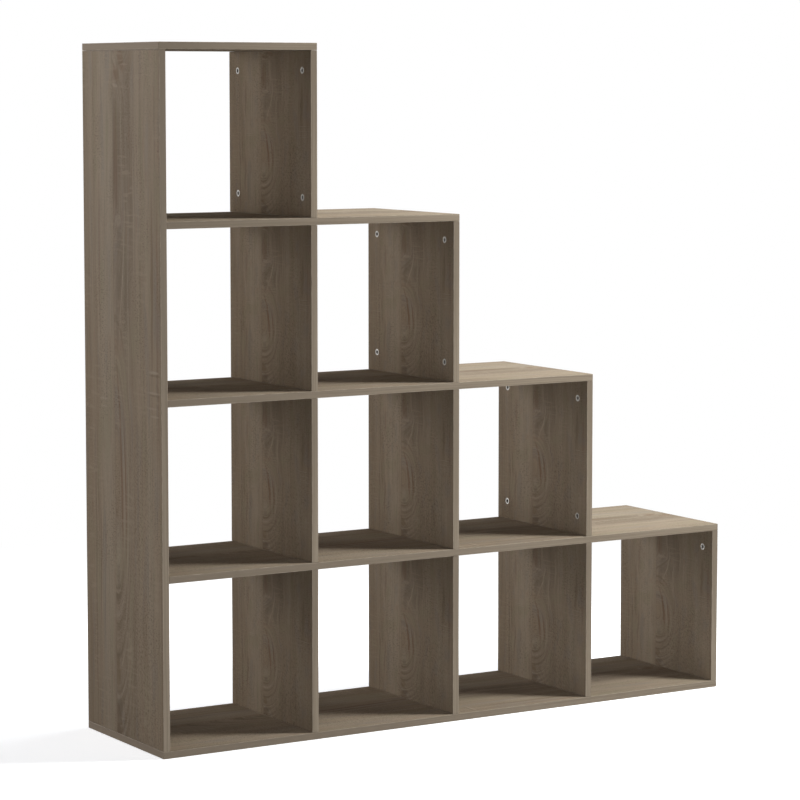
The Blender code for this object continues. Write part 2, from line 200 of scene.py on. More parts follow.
class NodeSheet:
    """A node tree that is filled in by calls."""

    FIRST_COLOUR, SECOND_COLOUR, MIXED_COLOUR = 6, 7, 2

    def __init__(self, tree: Tree) -> None:
        """Start on a tree, which may hold nodes already."""
        self.tree = tree

    def feed(self, socket: bpy.types.NodeSocket, value: Value) -> None:
        """Link a socket to a wire, or set it to a number, vector or colour.

        Args:
            socket: the input.
            value: what feeds it.
        """
        if isinstance(value, Wire):
            self.tree.links.new(value.socket, socket)
        else:
            socket.default_value = (*value, 1.0) if socket.type == "RGBA" else value

    def node(self, kind: str, inputs: Inputs = (), **settings: object) -> Outputs:
        """Add a node.

        Args:
            kind: Blender's name for it, less the ShaderNode in front.
            inputs: what feeds its inputs, in their order, or by place or name.
            settings: its plain properties.

        Returns:
            Its outputs, by place and by name.
        """
        made = self.tree.nodes.new(f"ShaderNode{kind}")
        for name, setting in settings.items():
            setattr(made, name, setting)
        for key, value in inputs.items() if isinstance(inputs, dict) else enumerate(inputs):
            self.feed(made.inputs[key], value)
        wires = [Wire(self, socket) for socket in made.outputs]
        return dict(enumerate(wires)) | {wire.socket.name: wire for wire in wires}

    def math(self, operation: str, *values: Value) -> Wire:
        """A Math node on one to three values."""
        return self.node("Math", values, operation=operation)[0]

    def ramp(self, value: Value, low: Value, high: Value, end: float = 1.0, start: float = 0.0) -> Wire:
        """A smooth step of a value, from start at low to end at high."""
        return self.node("MapRange", (value, low, high, start, end), interpolation_type="SMOOTHSTEP")[0]

    def near(self, value: Wire, middle: float, half: float, soft: float) -> Wire:
        """A soft mask of where a value is within half of its middle."""
        return self.ramp(self.math("ABSOLUTE", value - middle), half + soft, half - soft)

    def laid(self, colour: Value, *layers: tuple[Value, Value]) -> Value:
        """Lay colours on a colour.

        Args:
            colour: the colour underneath.
            layers: a mask and a colour for each layer, the lowest first.

        Returns:
            The mixed colour.
        """
        for mask, ink in layers:
            inputs = {0: mask, self.FIRST_COLOUR: colour, self.SECOND_COLOUR: ink}
            colour = self.node("Mix", inputs, data_type="RGBA")[self.MIXED_COLOUR]
        return colour

    def parts(self, vector: Wire) -> tuple[Wire, Wire]:
        """The first two components of a vector: along the grain and across it."""
        outputs = self.node("SeparateXYZ", (vector,))
        return outputs[0], outputs[1]

    def vector(self, *values: Value) -> Wire:
        """A vector from two or three values."""
        return self.node("CombineXYZ", values)[0]

    def scaled(self, vector: Wire, size: Wire) -> Wire:
        """A vector in units of a size."""
        inputs = {0: vector, "Scale": self.math("DIVIDE", 1.0, size)}
        return self.node("VectorMath", inputs, operation="SCALE")[0]

    def noise(self, place: Wire | tuple[Value, ...], detail: float = 2.0, roughness: float = 0.5) -> Wire:
        """Fractal noise with its mean at a half.

        Args:
            place: where it is read, with one cell a unit: a vector or its two or three parts.
            detail: how many octaves it has.
            roughness: how strong the finer octaves are.

        Returns:
            The noise, from 0 to 1.
        """
        vector = place if isinstance(place, Wire) else self.vector(*place)
        inputs = {"Vector": vector, "Scale": 1.0, "Detail": detail, "Roughness": roughness}
        return self.node("TexNoise", inputs)[0]

    def dot(self, vector: Wire, row: Point) -> Wire:
        """The dot product of a vector and a fixed row of three numbers."""
        return self.node("VectorMath", (vector, row), operation="DOT_PRODUCT")["Value"]

    def group(self, tree: Tree, **values: Value) -> Outputs:
        """Place a shader group, and feed its inputs by name."""
        inputs = {name.replace("_", " ").title(): value for name, value in values.items()}
        return self.node("Group", inputs, node_tree=tree)


class GroupSheet(NodeSheet):
    """The tree of a new shader group. Its first input is a vector, and the others are values."""

    def __init__(self, name: str, *inputs: str) -> None:
        """Start a group.

        Args:
            name: its name.
            inputs: the names of its inputs.
        """
        super().__init__(bpy.data.node_groups.new(name, "ShaderNodeTree"))
        for place, label in enumerate(inputs):
            kind = "NodeSocketFloat" if place else "NodeSocketVector"
            self.tree.interface.new_socket(name=label, in_out="INPUT", socket_type=kind)
        given = self.tree.nodes.new("NodeGroupInput")
        self.given = [Wire(self, given.outputs[label]) for label in inputs]

    def done(self, **outputs: Wire) -> Tree:
        """Give the group its outputs.

        Args:
            outputs: what feeds each output, by name.

        Returns:
            The finished tree.
        """
        for label in outputs:
            self.tree.interface.new_socket(name=label, in_out="OUTPUT", socket_type="NodeSocketFloat")
        result = self.tree.nodes.new("NodeGroupOutput")
        for label, wire in outputs.items():
            self.feed(result.inputs[label], wire)
        return self.tree


class ShaderGroups:
    """The effects that finishes share, each built once."""

    def __init__(self) -> None:
        """Build every group."""
        self.fibres = self._fibres()
        self.pores = self._pores()
        self.saw_marks = self._saw_marks()
        self.growth_lens = self._growth_lens()
        self.slanted_flecks = self._slanted_flecks()
        self.smudges = self._smudges()
        self.speckle = self._speckle()
        self.arris_wear = self._arris_wear()

    @staticmethod
    def _fibres() -> Tree:
        """Streaks along the grain at two widths.

        Returns:
            The group, which gives Fine and Broad.
        """
        sheet = GroupSheet("wood_fibres", "Grain", "Fine Width", "Broad Width", "Length", "Seed")
        grain, fine_width, broad_width, length, seed = sheet.given
        along, across = sheet.parts(grain)
        wander = sheet.noise((along * 5.0, across * 14.0, seed), 0.0)
        run, bent = along / length, across + (wander - 0.5) * 0.006
        return sheet.done(
            Fine=sheet.noise((run, bent / fine_width, seed), 2.0, 0.62),
            Broad=sheet.noise((run * 0.35, bent / broad_width, seed), 1.0, 0.5),
        )

    @staticmethod
    def _pores() -> Tree:
        """Short dark dashes along the grain.

        Returns:
            The group, which gives Mask.
        """
        sheet = GroupSheet("wood_pores", "Grain", "Length", "Width", "Amount", "Seed")
        grain, length, width, amount, seed = sheet.given
        along, across = sheet.parts(grain)
        clusters = sheet.noise((along * 9.0, across * 60.0, seed), 0.0)
        level = 0.74 - amount * clusters
        dashes = sheet.noise((along / length, across / width, seed), 1.0, 0.4)
        return sheet.done(Mask=sheet.ramp(dashes, level, level + 0.08))

    @staticmethod
    def _saw_marks() -> Tree:
        """Faint lines and short flecks across the grain, in patches.

        Returns:
            The group, which gives Mask.
        """
        sheet = GroupSheet("saw_marks", "Grain", "Spacing", "Length", "Seed")
        grain, spacing, length, seed = sheet.given
        along, across = sheet.parts(grain)
        lines = sheet.noise((along / spacing, across / length, seed), 1.0, 0.6)
        patches = sheet.noise((along * 6.0, across * 17.0, seed), 1.0)
        return sheet.done(Mask=sheet.ramp(lines, 0.50, 0.68) * sheet.ramp(patches, 0.42, 0.66))

    @staticmethod
    def _growth_lens() -> Tree:
        """How far a point lies outside a long closed figure of the grain, in metres.

        Returns:
            The group, which gives Distance.
        """
        sizes = ("Middle Along", "Middle Across", "Straight", "Taper", "Radius")
        sheet = GroupSheet("growth_lens", "Figure", *sizes)
        figure, middle_along, middle_across, straight, taper, radius = sheet.given
        along, across = sheet.parts(figure)
        from_middle = sheet.math("ABSOLUTE", along - middle_along)
        up = sheet.math("MAXIMUM", from_middle - straight, 0.0) * taper
        side = across - middle_across
        return sheet.done(Distance=sheet.math("SQRT", up * up + side * side) - radius)

    @staticmethod
    def _slanted_flecks() -> Tree:
        """Short strokes that lean across the grain.

        Returns:
            The group, which gives Mask.
        """
        sheet = GroupSheet("slanted_flecks", "Grain", "Width", "Length", "Lean", "Seed")
        grain, width, length, lean, seed = sheet.given
        along, across = sheet.parts(grain)
        wide, long = (across - along * lean) / width, (along + across * lean) / length
        return sheet.done(Mask=sheet.ramp(sheet.noise((long, wide, seed), 1.0), 0.50, 0.68))

    @staticmethod
    def _smudges() -> Tree:
        """Soft uneven patches of handling and dust.

        Returns:
            The group, which gives Mask.
        """
        sheet = GroupSheet("smudges", "Position", "Size", "Seed")
        position, size, seed = sheet.given
        cloud = sheet.noise((*sheet.parts(sheet.scaled(position, size)), seed), 2.0, 0.58)
        return sheet.done(Mask=sheet.ramp(cloud, 0.40, 0.68))

    @staticmethod
    def _speckle() -> Tree:
        """Even grain of a cast, plated or pressed surface.

        Returns:
            The group, which gives Value, from 0 to 1, and Pits.
        """
        sheet = GroupSheet("speckle", "Position", "Grain Size")
        place = sheet.scaled(*sheet.given)
        cells = sheet.node("TexVoronoi", {"Vector": place, "Scale": 0.6}, feature="F1")["Distance"]
        return sheet.done(Value=sheet.noise(place, 3.0, 0.6), Pits=sheet.ramp(cells, 0.22, 0.08))

    @staticmethod
    def _arris_wear() -> Tree:
        """Rubbed arrises of a strip whose second coordinate runs across its width, which also serve as a
        painted highlight along them.

        Returns:
            The group, which gives Mask.
        """
        sheet = GroupSheet("arris_wear", "Grain", "Strip Width", "Reach")
        grain, strip_width, reach = sheet.given
        along, across = sheet.parts(grain)
        far = sheet.math("MINIMUM", across, strip_width - across)
        patchy = sheet.noise((along * 45.0, across * 200.0), 3.0, 0.6)
        return sheet.done(Mask=sheet.ramp(far, reach, 0.0) * sheet.ramp(patchy, 0.35, 0.65))


# Finishes


class MaterialSheet(NodeSheet):
    """The tree of a new material with a Principled shader."""

    def __init__(self, name: str) -> None:
        """Start a material.

        Args:
            name: its name.
        """
        self.material = bpy.data.materials.new(name)
        self.material.use_nodes = True
        super().__init__(self.material.node_tree)

    def uv(self, name: str) -> Wire:
        """Coordinates of a board's map, in metres."""
        return self.node("UVMap", uv_map=name)[0]

    def place(self) -> Wire:
        """Coordinates of the object, in metres."""
        return self.node("TexCoord")["Object"]

    def done(self, height: Wire, relief: float, inputs: dict[str, Value]) -> Material:
        """Feed the shader.

        Args:
            height: how high the surface stands, from 0 to 1.
            relief: how many metres that is.
            inputs: what feeds the shader's other inputs, by name.

        Returns:
            The finished material.
        """
        bump = self.node("Bump", {"Strength": 1.0, "Distance": relief, "Height": height})[0]
        shader = self.tree.nodes["Principled BSDF"]
        for name, value in {**inputs, "Normal": bump}.items():
            self.feed(shader.inputs[name], value)
        return self.material


@dataclass(frozen=True)
class GrowthLens:
    """One closed figure of the grain, in metres on the figure map."""

    middle_along: float
    middle_across: float
    straight: float
    taper: float
    radius: float


class Tone(Enum):
    """Inks of the oak decor's strokes."""

    SLATE = (0.190, 0.153, 0.118)
    MOSS = (0.262, 0.230, 0.152)
    EARTH = (0.190, 0.136, 0.084)
    TAN = (0.345, 0.262, 0.184)
    CREAM = (0.372, 0.318, 0.246)
    RUST = (0.205, 0.122, 0.082)
    DARK = (0.150, 0.112, 0.078)
    PALE = (0.425, 0.357, 0.280)


@dataclass(frozen=True)
class GrainStroke:
    """One long soft stroke of the decor's grain, in metres on the figure map."""

    strength: float
    middle_along: float
    half_length: float
    across: float
    half_width: float
    lean: float = 0.0
    bow: float = 0.0
    outer_edge: float = 1.25
    inner_edge: float = 0.12

    def mask(self, sheet: NodeSheet, figure: Wire) -> Wire:
        """Where the stroke is.

        Args:
            sheet: the material's nodes.
            figure: the place along and across the grain, with 1 as its third number.

        Returns:
            The mask, 1 in the stroke's middle.
        """
        length, width = self.half_length, self.half_width
        run = sheet.dot(figure, (1.0 / length, 0.0, -self.middle_along / length))
        start = self.across + self.bow - self.lean * self.middle_along / length
        side = sheet.dot(figure, (-self.lean / (length * width), 1.0 / width, -start / width))
        square = run * run
        if self.bow:
            side = sheet.math("MULTIPLY_ADD", square, self.bow / width, side)
        return sheet.ramp(sheet.math("MULTIPLY_ADD", side, side, square), self.outer_edge, self.inner_edge)


# Each row holds the fields of a GrainStroke in their order. The inks are laid in the order of the table.
StrokeTable = dict[Tone, Sequence[tuple[float, ...]]]
MID_BOARD, WHOLE_BOARD = 0.715, 2.6
BROAD_BANDS: StrokeTable = {
    Tone.SLATE: (
        (0.3, MID_BOARD, WHOLE_BOARD, 0.186, 0.06),
        (0.14, 1.15, 0.5, 0.206, 0.024),
    ),
    Tone.EARTH: (
        (0.22, -0.08, 0.4, 0.21, 0.34),
        (0.16, 0.45, 0.6, 0.036, 0.009),
        (0.3, 0.66, 0.32, 0.063, 0.009),
        (0.24, MID_BOARD, WHOLE_BOARD, -0.006, 0.02),
        (0.34, 0.5, 0.7, 0.022, 0.016),
        (0.42, MID_BOARD, WHOLE_BOARD, 0.362, 0.016),
        (0.46, 0.955, 0.21, 0.317, 0.0064),
    ),
    Tone.TAN: ((0.26, 0.56, 0.42, 0.17, 0.34),),
    Tone.CREAM: (
        (0.42, MID_BOARD, WHOLE_BOARD, 0.107, 0.032),
        (0.36, 0.42, 0.38, 0.304, 0.015),
    ),
    Tone.RUST: (
        (0.34, 1.02, 0.18, 0.075, 0.0044),
        (0.36, 0.9, 0.29, 0.34, 0.006),
    ),
    Tone.DARK: (
        (0.4, 0.55, 0.11, 0.058, 0.0034),
        (0.4, 0.33, 0.19, 0.0715, 0.0038),
        (0.4, 0.34, 0.4, 0.0465, 0.0036, 0.0, 0.002),
    ),
    Tone.PALE: ((0.26, 0.87, 0.12, 0.0695, 0.0028),),
}
JOINED_STROKES: StrokeTable = {
    Tone.SLATE: (
        (0.46, 1.211, 0.158, 0.159, 0.0165),
        (0.34, 1.0, 0.095, 0.168, 0.014),
        (0.4, 0.905, 0.105, 0.157, 0.0095),
        (0.32, 0.93, 0.165, 0.1935, 0.009),
        (0.46, 0.335, 0.04, 0.152, 0.009),
    ),
    Tone.MOSS: ((0.4, 1.265, 0.078, 0.16, 0.008),),
    Tone.EARTH: ((0.45, 0.132, 0.036, 0.149, 0.011),),
    Tone.TAN: ((0.4, 0.54, 0.1, 0.155, 0.013),),
    Tone.CREAM: ((0.35, 0.4, 0.06, 0.152, 0.011),),
    Tone.RUST: (
        (0.34, 1.205, 0.125, 0.156, 0.012),
        (0.4, 1.412, 0.03, 0.18, 0.015, -0.01),
        (0.42, 1.385, 0.022, 0.158, 0.015, -0.006),
        (0.62, 0.58, 0.235, 0.16, 0.0046, -0.013, 0.01),
        (0.5, 0.51, 0.175, 0.182, 0.0038, -0.005, 0.009),
    ),
    Tone.DARK: (
        (0.28, 1.205, 0.155, 0.145, 0.0028),
        (0.28, 1.205, 0.155, 0.173, 0.0028),
        (0.2, 1.11, 0.175, 0.2275, 0.0034),
        (0.62, 0.034, 0.05, 0.151, 0.017, 0.006),
    ),
    Tone.PALE: (
        (0.26, 1.25, 0.15, 0.181, 0.003, -0.004),
        (0.46, 1.358, 0.005, 0.153, 0.013, -0.008),
        (0.3, 1.08, 0.015, 0.162, 0.016),
        (0.34, 1.41, 0.02, 0.15, 0.008, -0.012),
        (0.42, 1.0, 0.195, 0.175, 0.0026, 0.015, 0.01),
        (0.32, 0.89, 0.25, 0.2085, 0.003),
        (0.26, 1.11, 0.175, 0.2335, 0.0026),
        (0.32, 0.528, 0.165, 0.177, 0.0024, -0.0035, 0.006),
        (0.36, 0.466, 0.24, 0.185, 0.0036, 0.003, 0.016),
    ),
}
CROSS_MARKS: StrokeTable = {
    Tone.DARK: (
        (0.32, 0.77, 0.003, 0.327, 0.026, 0.002),
        (0.3, 0.729, 0.0028, 0.326, 0.026, -0.0016),
    ),
    Tone.PALE: (
        (0.5, 0.776, 0.0034, 0.323, 0.024, 0.002),
        (0.38, 0.734, 0.003, 0.322, 0.03, -0.0016),
        (0.34, 0.702, 0.0028, 0.314, 0.024, 0.0024),
        (0.34, 0.686, 0.0028, 0.326, 0.022),
        (0.4, 0.704, 0.003, 0.09, 0.02, 0.0016),
        (0.34, 0.688, 0.0028, 0.093, 0.018),
    ),
}


def lay_strokes(figure: Wire, colour: Value, table: StrokeTable, cover: Value = 1.0) -> Value:
    """Lay strokes on a colour, ink by ink.

    Args:
        figure: the place along and across the grain, with 1 as its third number.
        colour: what they are laid on.
        table: the strokes.
        cover: a mask of where they show.

    Returns:
        The colour with the strokes.
    """
    sheet = figure.sheet
    for tone, rows in table.items():
        ink: Value = 0.0
        for row in rows:
            stroke = GrainStroke(*row)
            ink = sheet.math("MULTIPLY_ADD", stroke.mask(sheet, figure), stroke.strength, ink)
        colour = sheet.laid(colour, (ink * cover, tone.value))
    return colour


@dataclass(frozen=True)
class OakDecor:
    """Grey-brown oak paper under melamine, on the faces of the boards.

    The print shows two leaves of veneer side by side. The figures of growth lie in the second leaf only.
    """

    light: Colour = (0.348, 0.281, 0.209)
    middle: Colour = (0.312, 0.248, 0.182)
    dark: Colour = (0.150, 0.112, 0.078)
    olive: Colour = (0.300, 0.262, 0.178)
    red: Colour = (0.300, 0.205, 0.150)
    grey: Colour = (0.262, 0.232, 0.200)
    roughness: float = 0.80
    specular: float = 0.01
    relief: float = 0.00008
    joint: float = 0.1415
    joint_width: float = 0.0016
    joint_soft: float = 0.0004
    slow_sway: float = 0.010
    quick_sway: float = 0.0065
    straight_grain: float = 0.165
    other_leaf: float = 3.0
    ring_spacing: float = 0.0068
    merging: float = 0.014
    bowl: GrowthLens = GrowthLens(0.545, 0.148, 0.02, 0.19, 0.036)
    crest: GrowthLens = GrowthLens(1.49, 0.185, 0.0, 0.5, 0.012)

    def material(self, groups: ShaderGroups) -> Material:
        """Build the finish.

        Args:
            groups: the shared shader groups.

        Returns:
            The material.
        """
        sheet = MaterialSheet("oak_decor")
        grain, figure_map = sheet.uv(GRAIN_MAP), sheet.uv(FIGURE_MAP)
        along, across = sheet.parts(figure_map)
        true_along, _ = sheet.parts(grain)

        slow = sheet.noise((along * 4.0, across * 9.0, 3.0), 1.0)
        quick = sheet.noise((along * 17.0, across * 45.0, 8.0), 1.0)
        swayed = across + ((slow - 0.5) * self.slow_sway + (quick - 0.5) * self.quick_sway)
        figure = sheet.vector(along, swayed, 1.0)
        past_joint = sheet.ramp(across, self.joint - self.joint_soft, self.joint + self.joint_soft)
        bowl, crest = (
            sheet.group(groups.growth_lens, figure=figure, **asdict(lens))["Distance"]
            for lens in (self.bowl, self.crest)
        )
        nearest = sheet.math("SMOOTH_MIN", bowl, crest, self.merging)
        straight = swayed - self.straight_grain
        bending = sheet.ramp(nearest, 0.075, 0.020) * past_joint
        flow = straight + bending * (nearest - straight) + past_joint * self.other_leaf
        flowing, true_flowing = sheet.vector(along, flow), sheet.vector(true_along, flow)

        bands, tints, fine = (
            sheet.group(groups.fibres, grain=place, fine_width=thin, broad_width=wide, length=run, seed=seed)
            for place, thin, wide, run, seed in (
                (flowing, 0.0085, 0.024, 0.62, 7.0),
                (flowing, 0.011, 0.030, 0.085, 19.0),
                (true_flowing, 0.0012, 0.0052, 0.10, 3.0),
            )
        )
        pores = sheet.group(groups.pores, grain=grain, length=0.0075, width=0.00045, amount=0.22, seed=2.0)
        saw = sheet.group(groups.saw_marks, grain=figure_map, spacing=0.0085, length=0.060, seed=5.0)
        flecks = sheet.group(groups.saw_marks, grain=grain, spacing=0.0030, length=0.0075, seed=11.0)
        slanted = sheet.group(
            groups.slanted_flecks, grain=grain, width=0.0040, length=0.010, lean=-0.80, seed=4.0
        )
        pores, saw, flecks, slanted = (marks["Mask"] for marks in (pores, saw, flecks, slanted))

        colour = sheet.laid(self.middle, (sheet.ramp(bands["Broad"], 0.36, 0.62), self.light))
        colour = lay_strokes(figure, colour, BROAD_BANDS)
        colour = sheet.laid(
            colour,
            (sheet.ramp(tints["Broad"], 0.52, 0.70, 0.43), self.olive),
            (sheet.ramp(tints["Broad"], 0.46, 0.30, 0.40), self.grey),
            (sheet.ramp(tints["Fine"], 0.54, 0.72, 0.43), self.red),
            (sheet.ramp(bands["Fine"], 0.50, 0.72, 0.12), self.dark),
        )

        rings = sheet.noise((along * 1.3, nearest / self.ring_spacing, 5.0), 2.0, 0.62)
        round_lens = sheet.ramp(nearest, 0.130, 0.050) * sheet.ramp(nearest, 0.0, 0.002) * past_joint
        low_down = sheet.ramp(along, 0.40, 0.26, 1.0, 0.22)
        near_joint = sheet.ramp(across, self.joint + 0.075, self.joint + 0.015, 1.0, 0.25)
        ringed = round_lens * (low_down * near_joint)
        colour = sheet.laid(
            colour,
            (sheet.ramp(rings, 0.51, 0.61, 0.52) * ringed, self.dark),
            (sheet.ramp(rings, 0.47, 0.37, 0.40) * ringed, Tone.PALE.value),
        )
        colour = lay_strokes(figure, colour, JOINED_STROKES, past_joint)

        joint_line = sheet.near(across, self.joint, self.joint_width / 2, self.joint_soft)
        rippled = sheet.near(across, 0.262, 0.052, 0.030) * sheet.ramp(along, 0.78, 0.52) * slanted
        colour = sheet.laid(
            colour,
            (joint_line * 0.22, self.dark),
            (sheet.ramp(fine["Fine"], 0.38, 0.66, 0.22), self.dark),
            (sheet.ramp(fine["Broad"], 0.46, 0.66, 0.12), self.light),
            (sheet.ramp(fine["Broad"], 0.50, 0.30, 0.16), self.dark),
            (rippled * 0.40, self.dark),
            (slanted * 0.10, self.dark),
            (saw * 0.48, self.light),
        )
        colour = lay_strokes(figure, colour, CROSS_MARKS)
        colour = sheet.laid(colour, (flecks * 0.40, self.dark), (pores * 0.45, self.dark))

        hands = sheet.group(groups.smudges, position=grain, size=0.13, seed=4.0)["Mask"]
        inputs = {
            "Base Color": colour,
            "Roughness": pores * 0.12 + self.roughness - hands * 0.07,
            "Specular IOR Level": self.specular,
        }
        return sheet.done(1.0 - pores, self.relief, inputs)


@dataclass(frozen=True)
class EdgeBand:
    """Thin printed band glued round the edges: smoother, a little paler, with lines along it.

    Its colour pales slowly from one end of a board to the other: painted shade for the light's fall-off along
    the boards, together with a slow tone change of the print.
    """

    light: Colour = (0.376, 0.305, 0.230)
    dark: Colour = (0.292, 0.233, 0.173)
    # painted shade laid towards one end of each band, together with a slow tone change of the print
    shaded: Colour = (0.244, 0.195, 0.146)
    # paler colour on the arrises: real wear together with a painted highlight along each arris
    worn: Colour = (0.500, 0.420, 0.330)
    roughness: float = 0.60
    specular: float = 0.15
    relief: float = 0.00006
    wear: float = 0.75

    def material(self, groups: ShaderGroups) -> Material:
        """Build the finish.

        Args:
            groups: the shared shader groups.

        Returns:
            The material.
        """
        sheet = MaterialSheet("edge_band")
        grain = sheet.uv(GRAIN_MAP)
        share, _ = sheet.parts(sheet.uv(FIGURE_MAP))
        lines = sheet.group(
            groups.fibres, grain=grain, fine_width=0.0009, broad_width=0.0034, length=0.16, seed=23.0
        )
        pores = sheet.group(groups.pores, grain=grain, length=0.0065, width=0.0004, amount=0.16, seed=9.0)
        pores = pores["Mask"]
        rubbed_and_highlight = sheet.group(groups.arris_wear, grain=grain, strip_width=PLAN.thickness, reach=0.0020)["Mask"]
        fine = sheet.ramp(lines["Fine"], 0.42, 0.66)
        colour = sheet.laid(
            self.light,
            (sheet.ramp(lines["Broad"], 0.36, 0.66), self.dark),
            # painted shade: darker towards the left end of each level board and the top end of each upright,
            # partly a slow tone change of the print
            (sheet.ramp(share, 1.0, 0.0, 0.80), self.shaded),
            (fine * 0.35, self.dark),
            (pores * 0.35, self.dark),
            # real wear together with a painted highlight: a pale line along each arris of the band
            (rubbed_and_highlight * self.wear, self.worn),
        )
        inputs = {
            "Base Color": colour,
            "Roughness": self.roughness - rubbed_and_highlight * 0.08 + fine * 0.05,
            "Specular IOR Level": self.specular,
        }
        return sheet.done(0.8 - pores * 0.5 - fine * 0.3, self.relief, inputs)


@dataclass(frozen=True)
class GlueLine:
    """The fine dark line where a band meets a board's face."""

    light: Colour = (0.125, 0.098, 0.073)
    dark: Colour = (0.070, 0.054, 0.041)
    roughness: float = 0.7
    relief: float = 0.00005

    def material(self, groups: ShaderGroups) -> Material:
        """Build the finish.

        Args:
            groups: the shared shader groups.

        Returns:
            The material.
        """
        sheet = MaterialSheet("band_glue_line")
        grain = sheet.uv(GRAIN_MAP)
        uneven = sheet.group(groups.smudges, position=grain, size=0.018, seed=8.0)["Mask"]
        grit = sheet.group(groups.speckle, position=grain, grain_size=0.0006)["Value"]
        colour = sheet.laid(self.light, (uneven, self.dark))
        return sheet.done(grit, self.relief, {"Base Color": colour, "Roughness": grit * 0.1 + self.roughness})


@dataclass(frozen=True)
class Chipboard:
    """Raw chipboard in the bores and on the hidden ends."""

    light: Colour = (0.520, 0.385, 0.235)
    dark: Colour = (0.240, 0.160, 0.090)
    chip_size: float = 0.0016
    dust_size: float = 0.0004
    roughness: float = 0.85
    relief: float = 0.0004

    def material(self, groups: ShaderGroups) -> Material:
        """Build the finish.

        Args:
            groups: the shared shader groups.

        Returns:
            The material.
        """
        sheet = MaterialSheet("raw_chipboard")
        place = sheet.place()
        chips = sheet.group(groups.speckle, position=place, grain_size=self.chip_size)
        dust = sheet.group(groups.speckle, position=place, grain_size=self.dust_size)["Value"]
        tone = sheet.ramp(chips["Value"], 0.34, 0.66)
        colour = sheet.laid(self.dark, (tone, self.light), (chips["Pits"] * 0.6, self.dark))
        inputs = {"Base Color": colour, "Roughness": dust * 0.1 + self.roughness}
        return sheet.done(dust - chips["Pits"], self.relief, inputs)


@dataclass(frozen=True)
class Metal:
    """A cast or plated metal with a fine speckle and dull patches."""

    name: str
    bright: Colour
    dull: Colour
    roughness: float
    grain_size: float
    relief: float
    patch_grains: float = 9.0

    def material(self, groups: ShaderGroups) -> Material:
        """Build the finish.

        Args:
            groups: the shared shader groups.

        Returns:
            The material.
        """
        sheet = MaterialSheet(self.name)
        place = sheet.place()
        cast = sheet.group(groups.speckle, position=place, grain_size=self.grain_size)
        patch = self.grain_size * self.patch_grains
        film = sheet.group(groups.smudges, position=place, size=patch, seed=1.0)["Mask"]
        inputs = {
            "Base Color": sheet.laid(self.bright, (film * 0.5 + cast["Pits"] * 0.3, self.dull)),
            "Roughness": film * 0.12 + self.roughness + (cast["Value"] - 0.5) * 0.15,
            "Metallic": 1.0,
        }
        return sheet.done(cast["Value"] - cast["Pits"], self.relief, inputs)


@dataclass(frozen=True)
class Beech:
    """Plain beech of the dowels: pale, with short brown rays."""

    light: Colour = (0.640, 0.440, 0.270)
    dark: Colour = (0.470, 0.290, 0.160)
    ray: Colour = (0.330, 0.170, 0.085)
    roughness: float = 0.62
    relief: float = 0.00008

    def material(self, groups: ShaderGroups) -> Material:
        """Build the finish.

        Args:
            groups: the shared shader groups.

        Returns:
            The material.
        """
        sheet = MaterialSheet("beech_dowel")
        grain = sheet.uv(GRAIN_MAP)
        fibres = sheet.group(
            groups.fibres, grain=grain, fine_width=0.0005, broad_width=0.0026, length=0.030, seed=31.0
        )
        rays = sheet.group(groups.pores, grain=grain, length=0.0018, width=0.00022, amount=0.26, seed=6.0)
        fine = sheet.ramp(fibres["Fine"], 0.40, 0.64)
        broad = sheet.ramp(fibres["Broad"], 0.36, 0.64)
        colour = sheet.laid(
            self.light, (broad, self.dark), (fine * 0.3, self.dark), (rays["Mask"] * 0.7, self.ray)
        )
        inputs = {"Base Color": colour, "Roughness": fine * 0.1 + self.roughness}
        return sheet.done(1.0 - fine * 0.6, self.relief, inputs)


ZINC_DRUM = Metal("cast_zinc_drum", (0.64, 0.62, 0.585), (0.42, 0.405, 0.38), 0.54, 0.0007, 0.00004)
# darker zinc in each drum's dish and cross recess: painted shade in the recess, together with grime
ZINC_RECESS_SHADE_AND_GRIME = Metal("cast_zinc_recess", (0.250, 0.232, 0.212), (0.125, 0.116, 0.106), 0.60, 0.0007, 0.00006)
BOLT_STEEL = Metal("bolt_steel", (0.66, 0.65, 0.62), (0.46, 0.45, 0.42), 0.34, 0.0004, 0.00002)
SCREW_STEEL = Metal("screw_steel", (0.68, 0.67, 0.63), (0.48, 0.47, 0.44), 0.32, 0.0005, 0.00002)


class FinishSet:
    """Every material of the bookcase, built once."""

    def __init__(self) -> None:
        """Build the shared groups and then the materials that use them."""
        groups = ShaderGroups()
        self.board = [finish.material(groups) for finish in (OakDecor(), EdgeBand(), GlueLine(), Chipboard())]
        self.cam = [finish.material(groups) for finish in (ZINC_DRUM, ZINC_RECESS_SHADE_AND_GRIME, BOLT_STEEL)]
        self.dowel = [Beech().material(groups)]
        self.screw = [SCREW_STEEL.material(groups)]


# Mesh helpers


def new_object(name: str, data: bpy.types.ID, materials: Iterable[Material] = ()) -> bpy.types.Object:
    """Link a mesh, a camera or a lamp to the scene as an object.

    Args:
        name: the object's name.
        data: what it shows.
        materials: what is added to a mesh's material slots, in order.

    Returns:
        The object.
    """
    made = bpy.data.objects.new(name, data)
    bpy.context.scene.collection.objects.link(made)
    for material in materials:
        data.materials.append(material)
    return made


def mesh_of(shape: Shape, name: str) -> Mesh:
    """Turn a bmesh into a mesh.

    Args:
        shape: the bmesh, which is freed.
        name: the mesh's name.

    Returns:
        The mesh.
    """
    mesh = bpy.data.meshes.new(name)
    shape.to_mesh(mesh)
    shape.free()
    return mesh


def block(low: Sequence[float], high: Sequence[float]) -> Shape:
    """Make a box.

    Args:
        low: its lowest corner.
        high: its highest corner.

    Returns:
        The box.
    """
    shape, low_corner, high_corner = bmesh.new(), Vector(low), Vector(high)
    size = Matrix.Diagonal((*(high_corner - low_corner), 1.0))
    bmesh.ops.create_cube(shape, size=1.0, matrix=Matrix.Translation((low_corner + high_corner) / 2) @ size)
    return shape


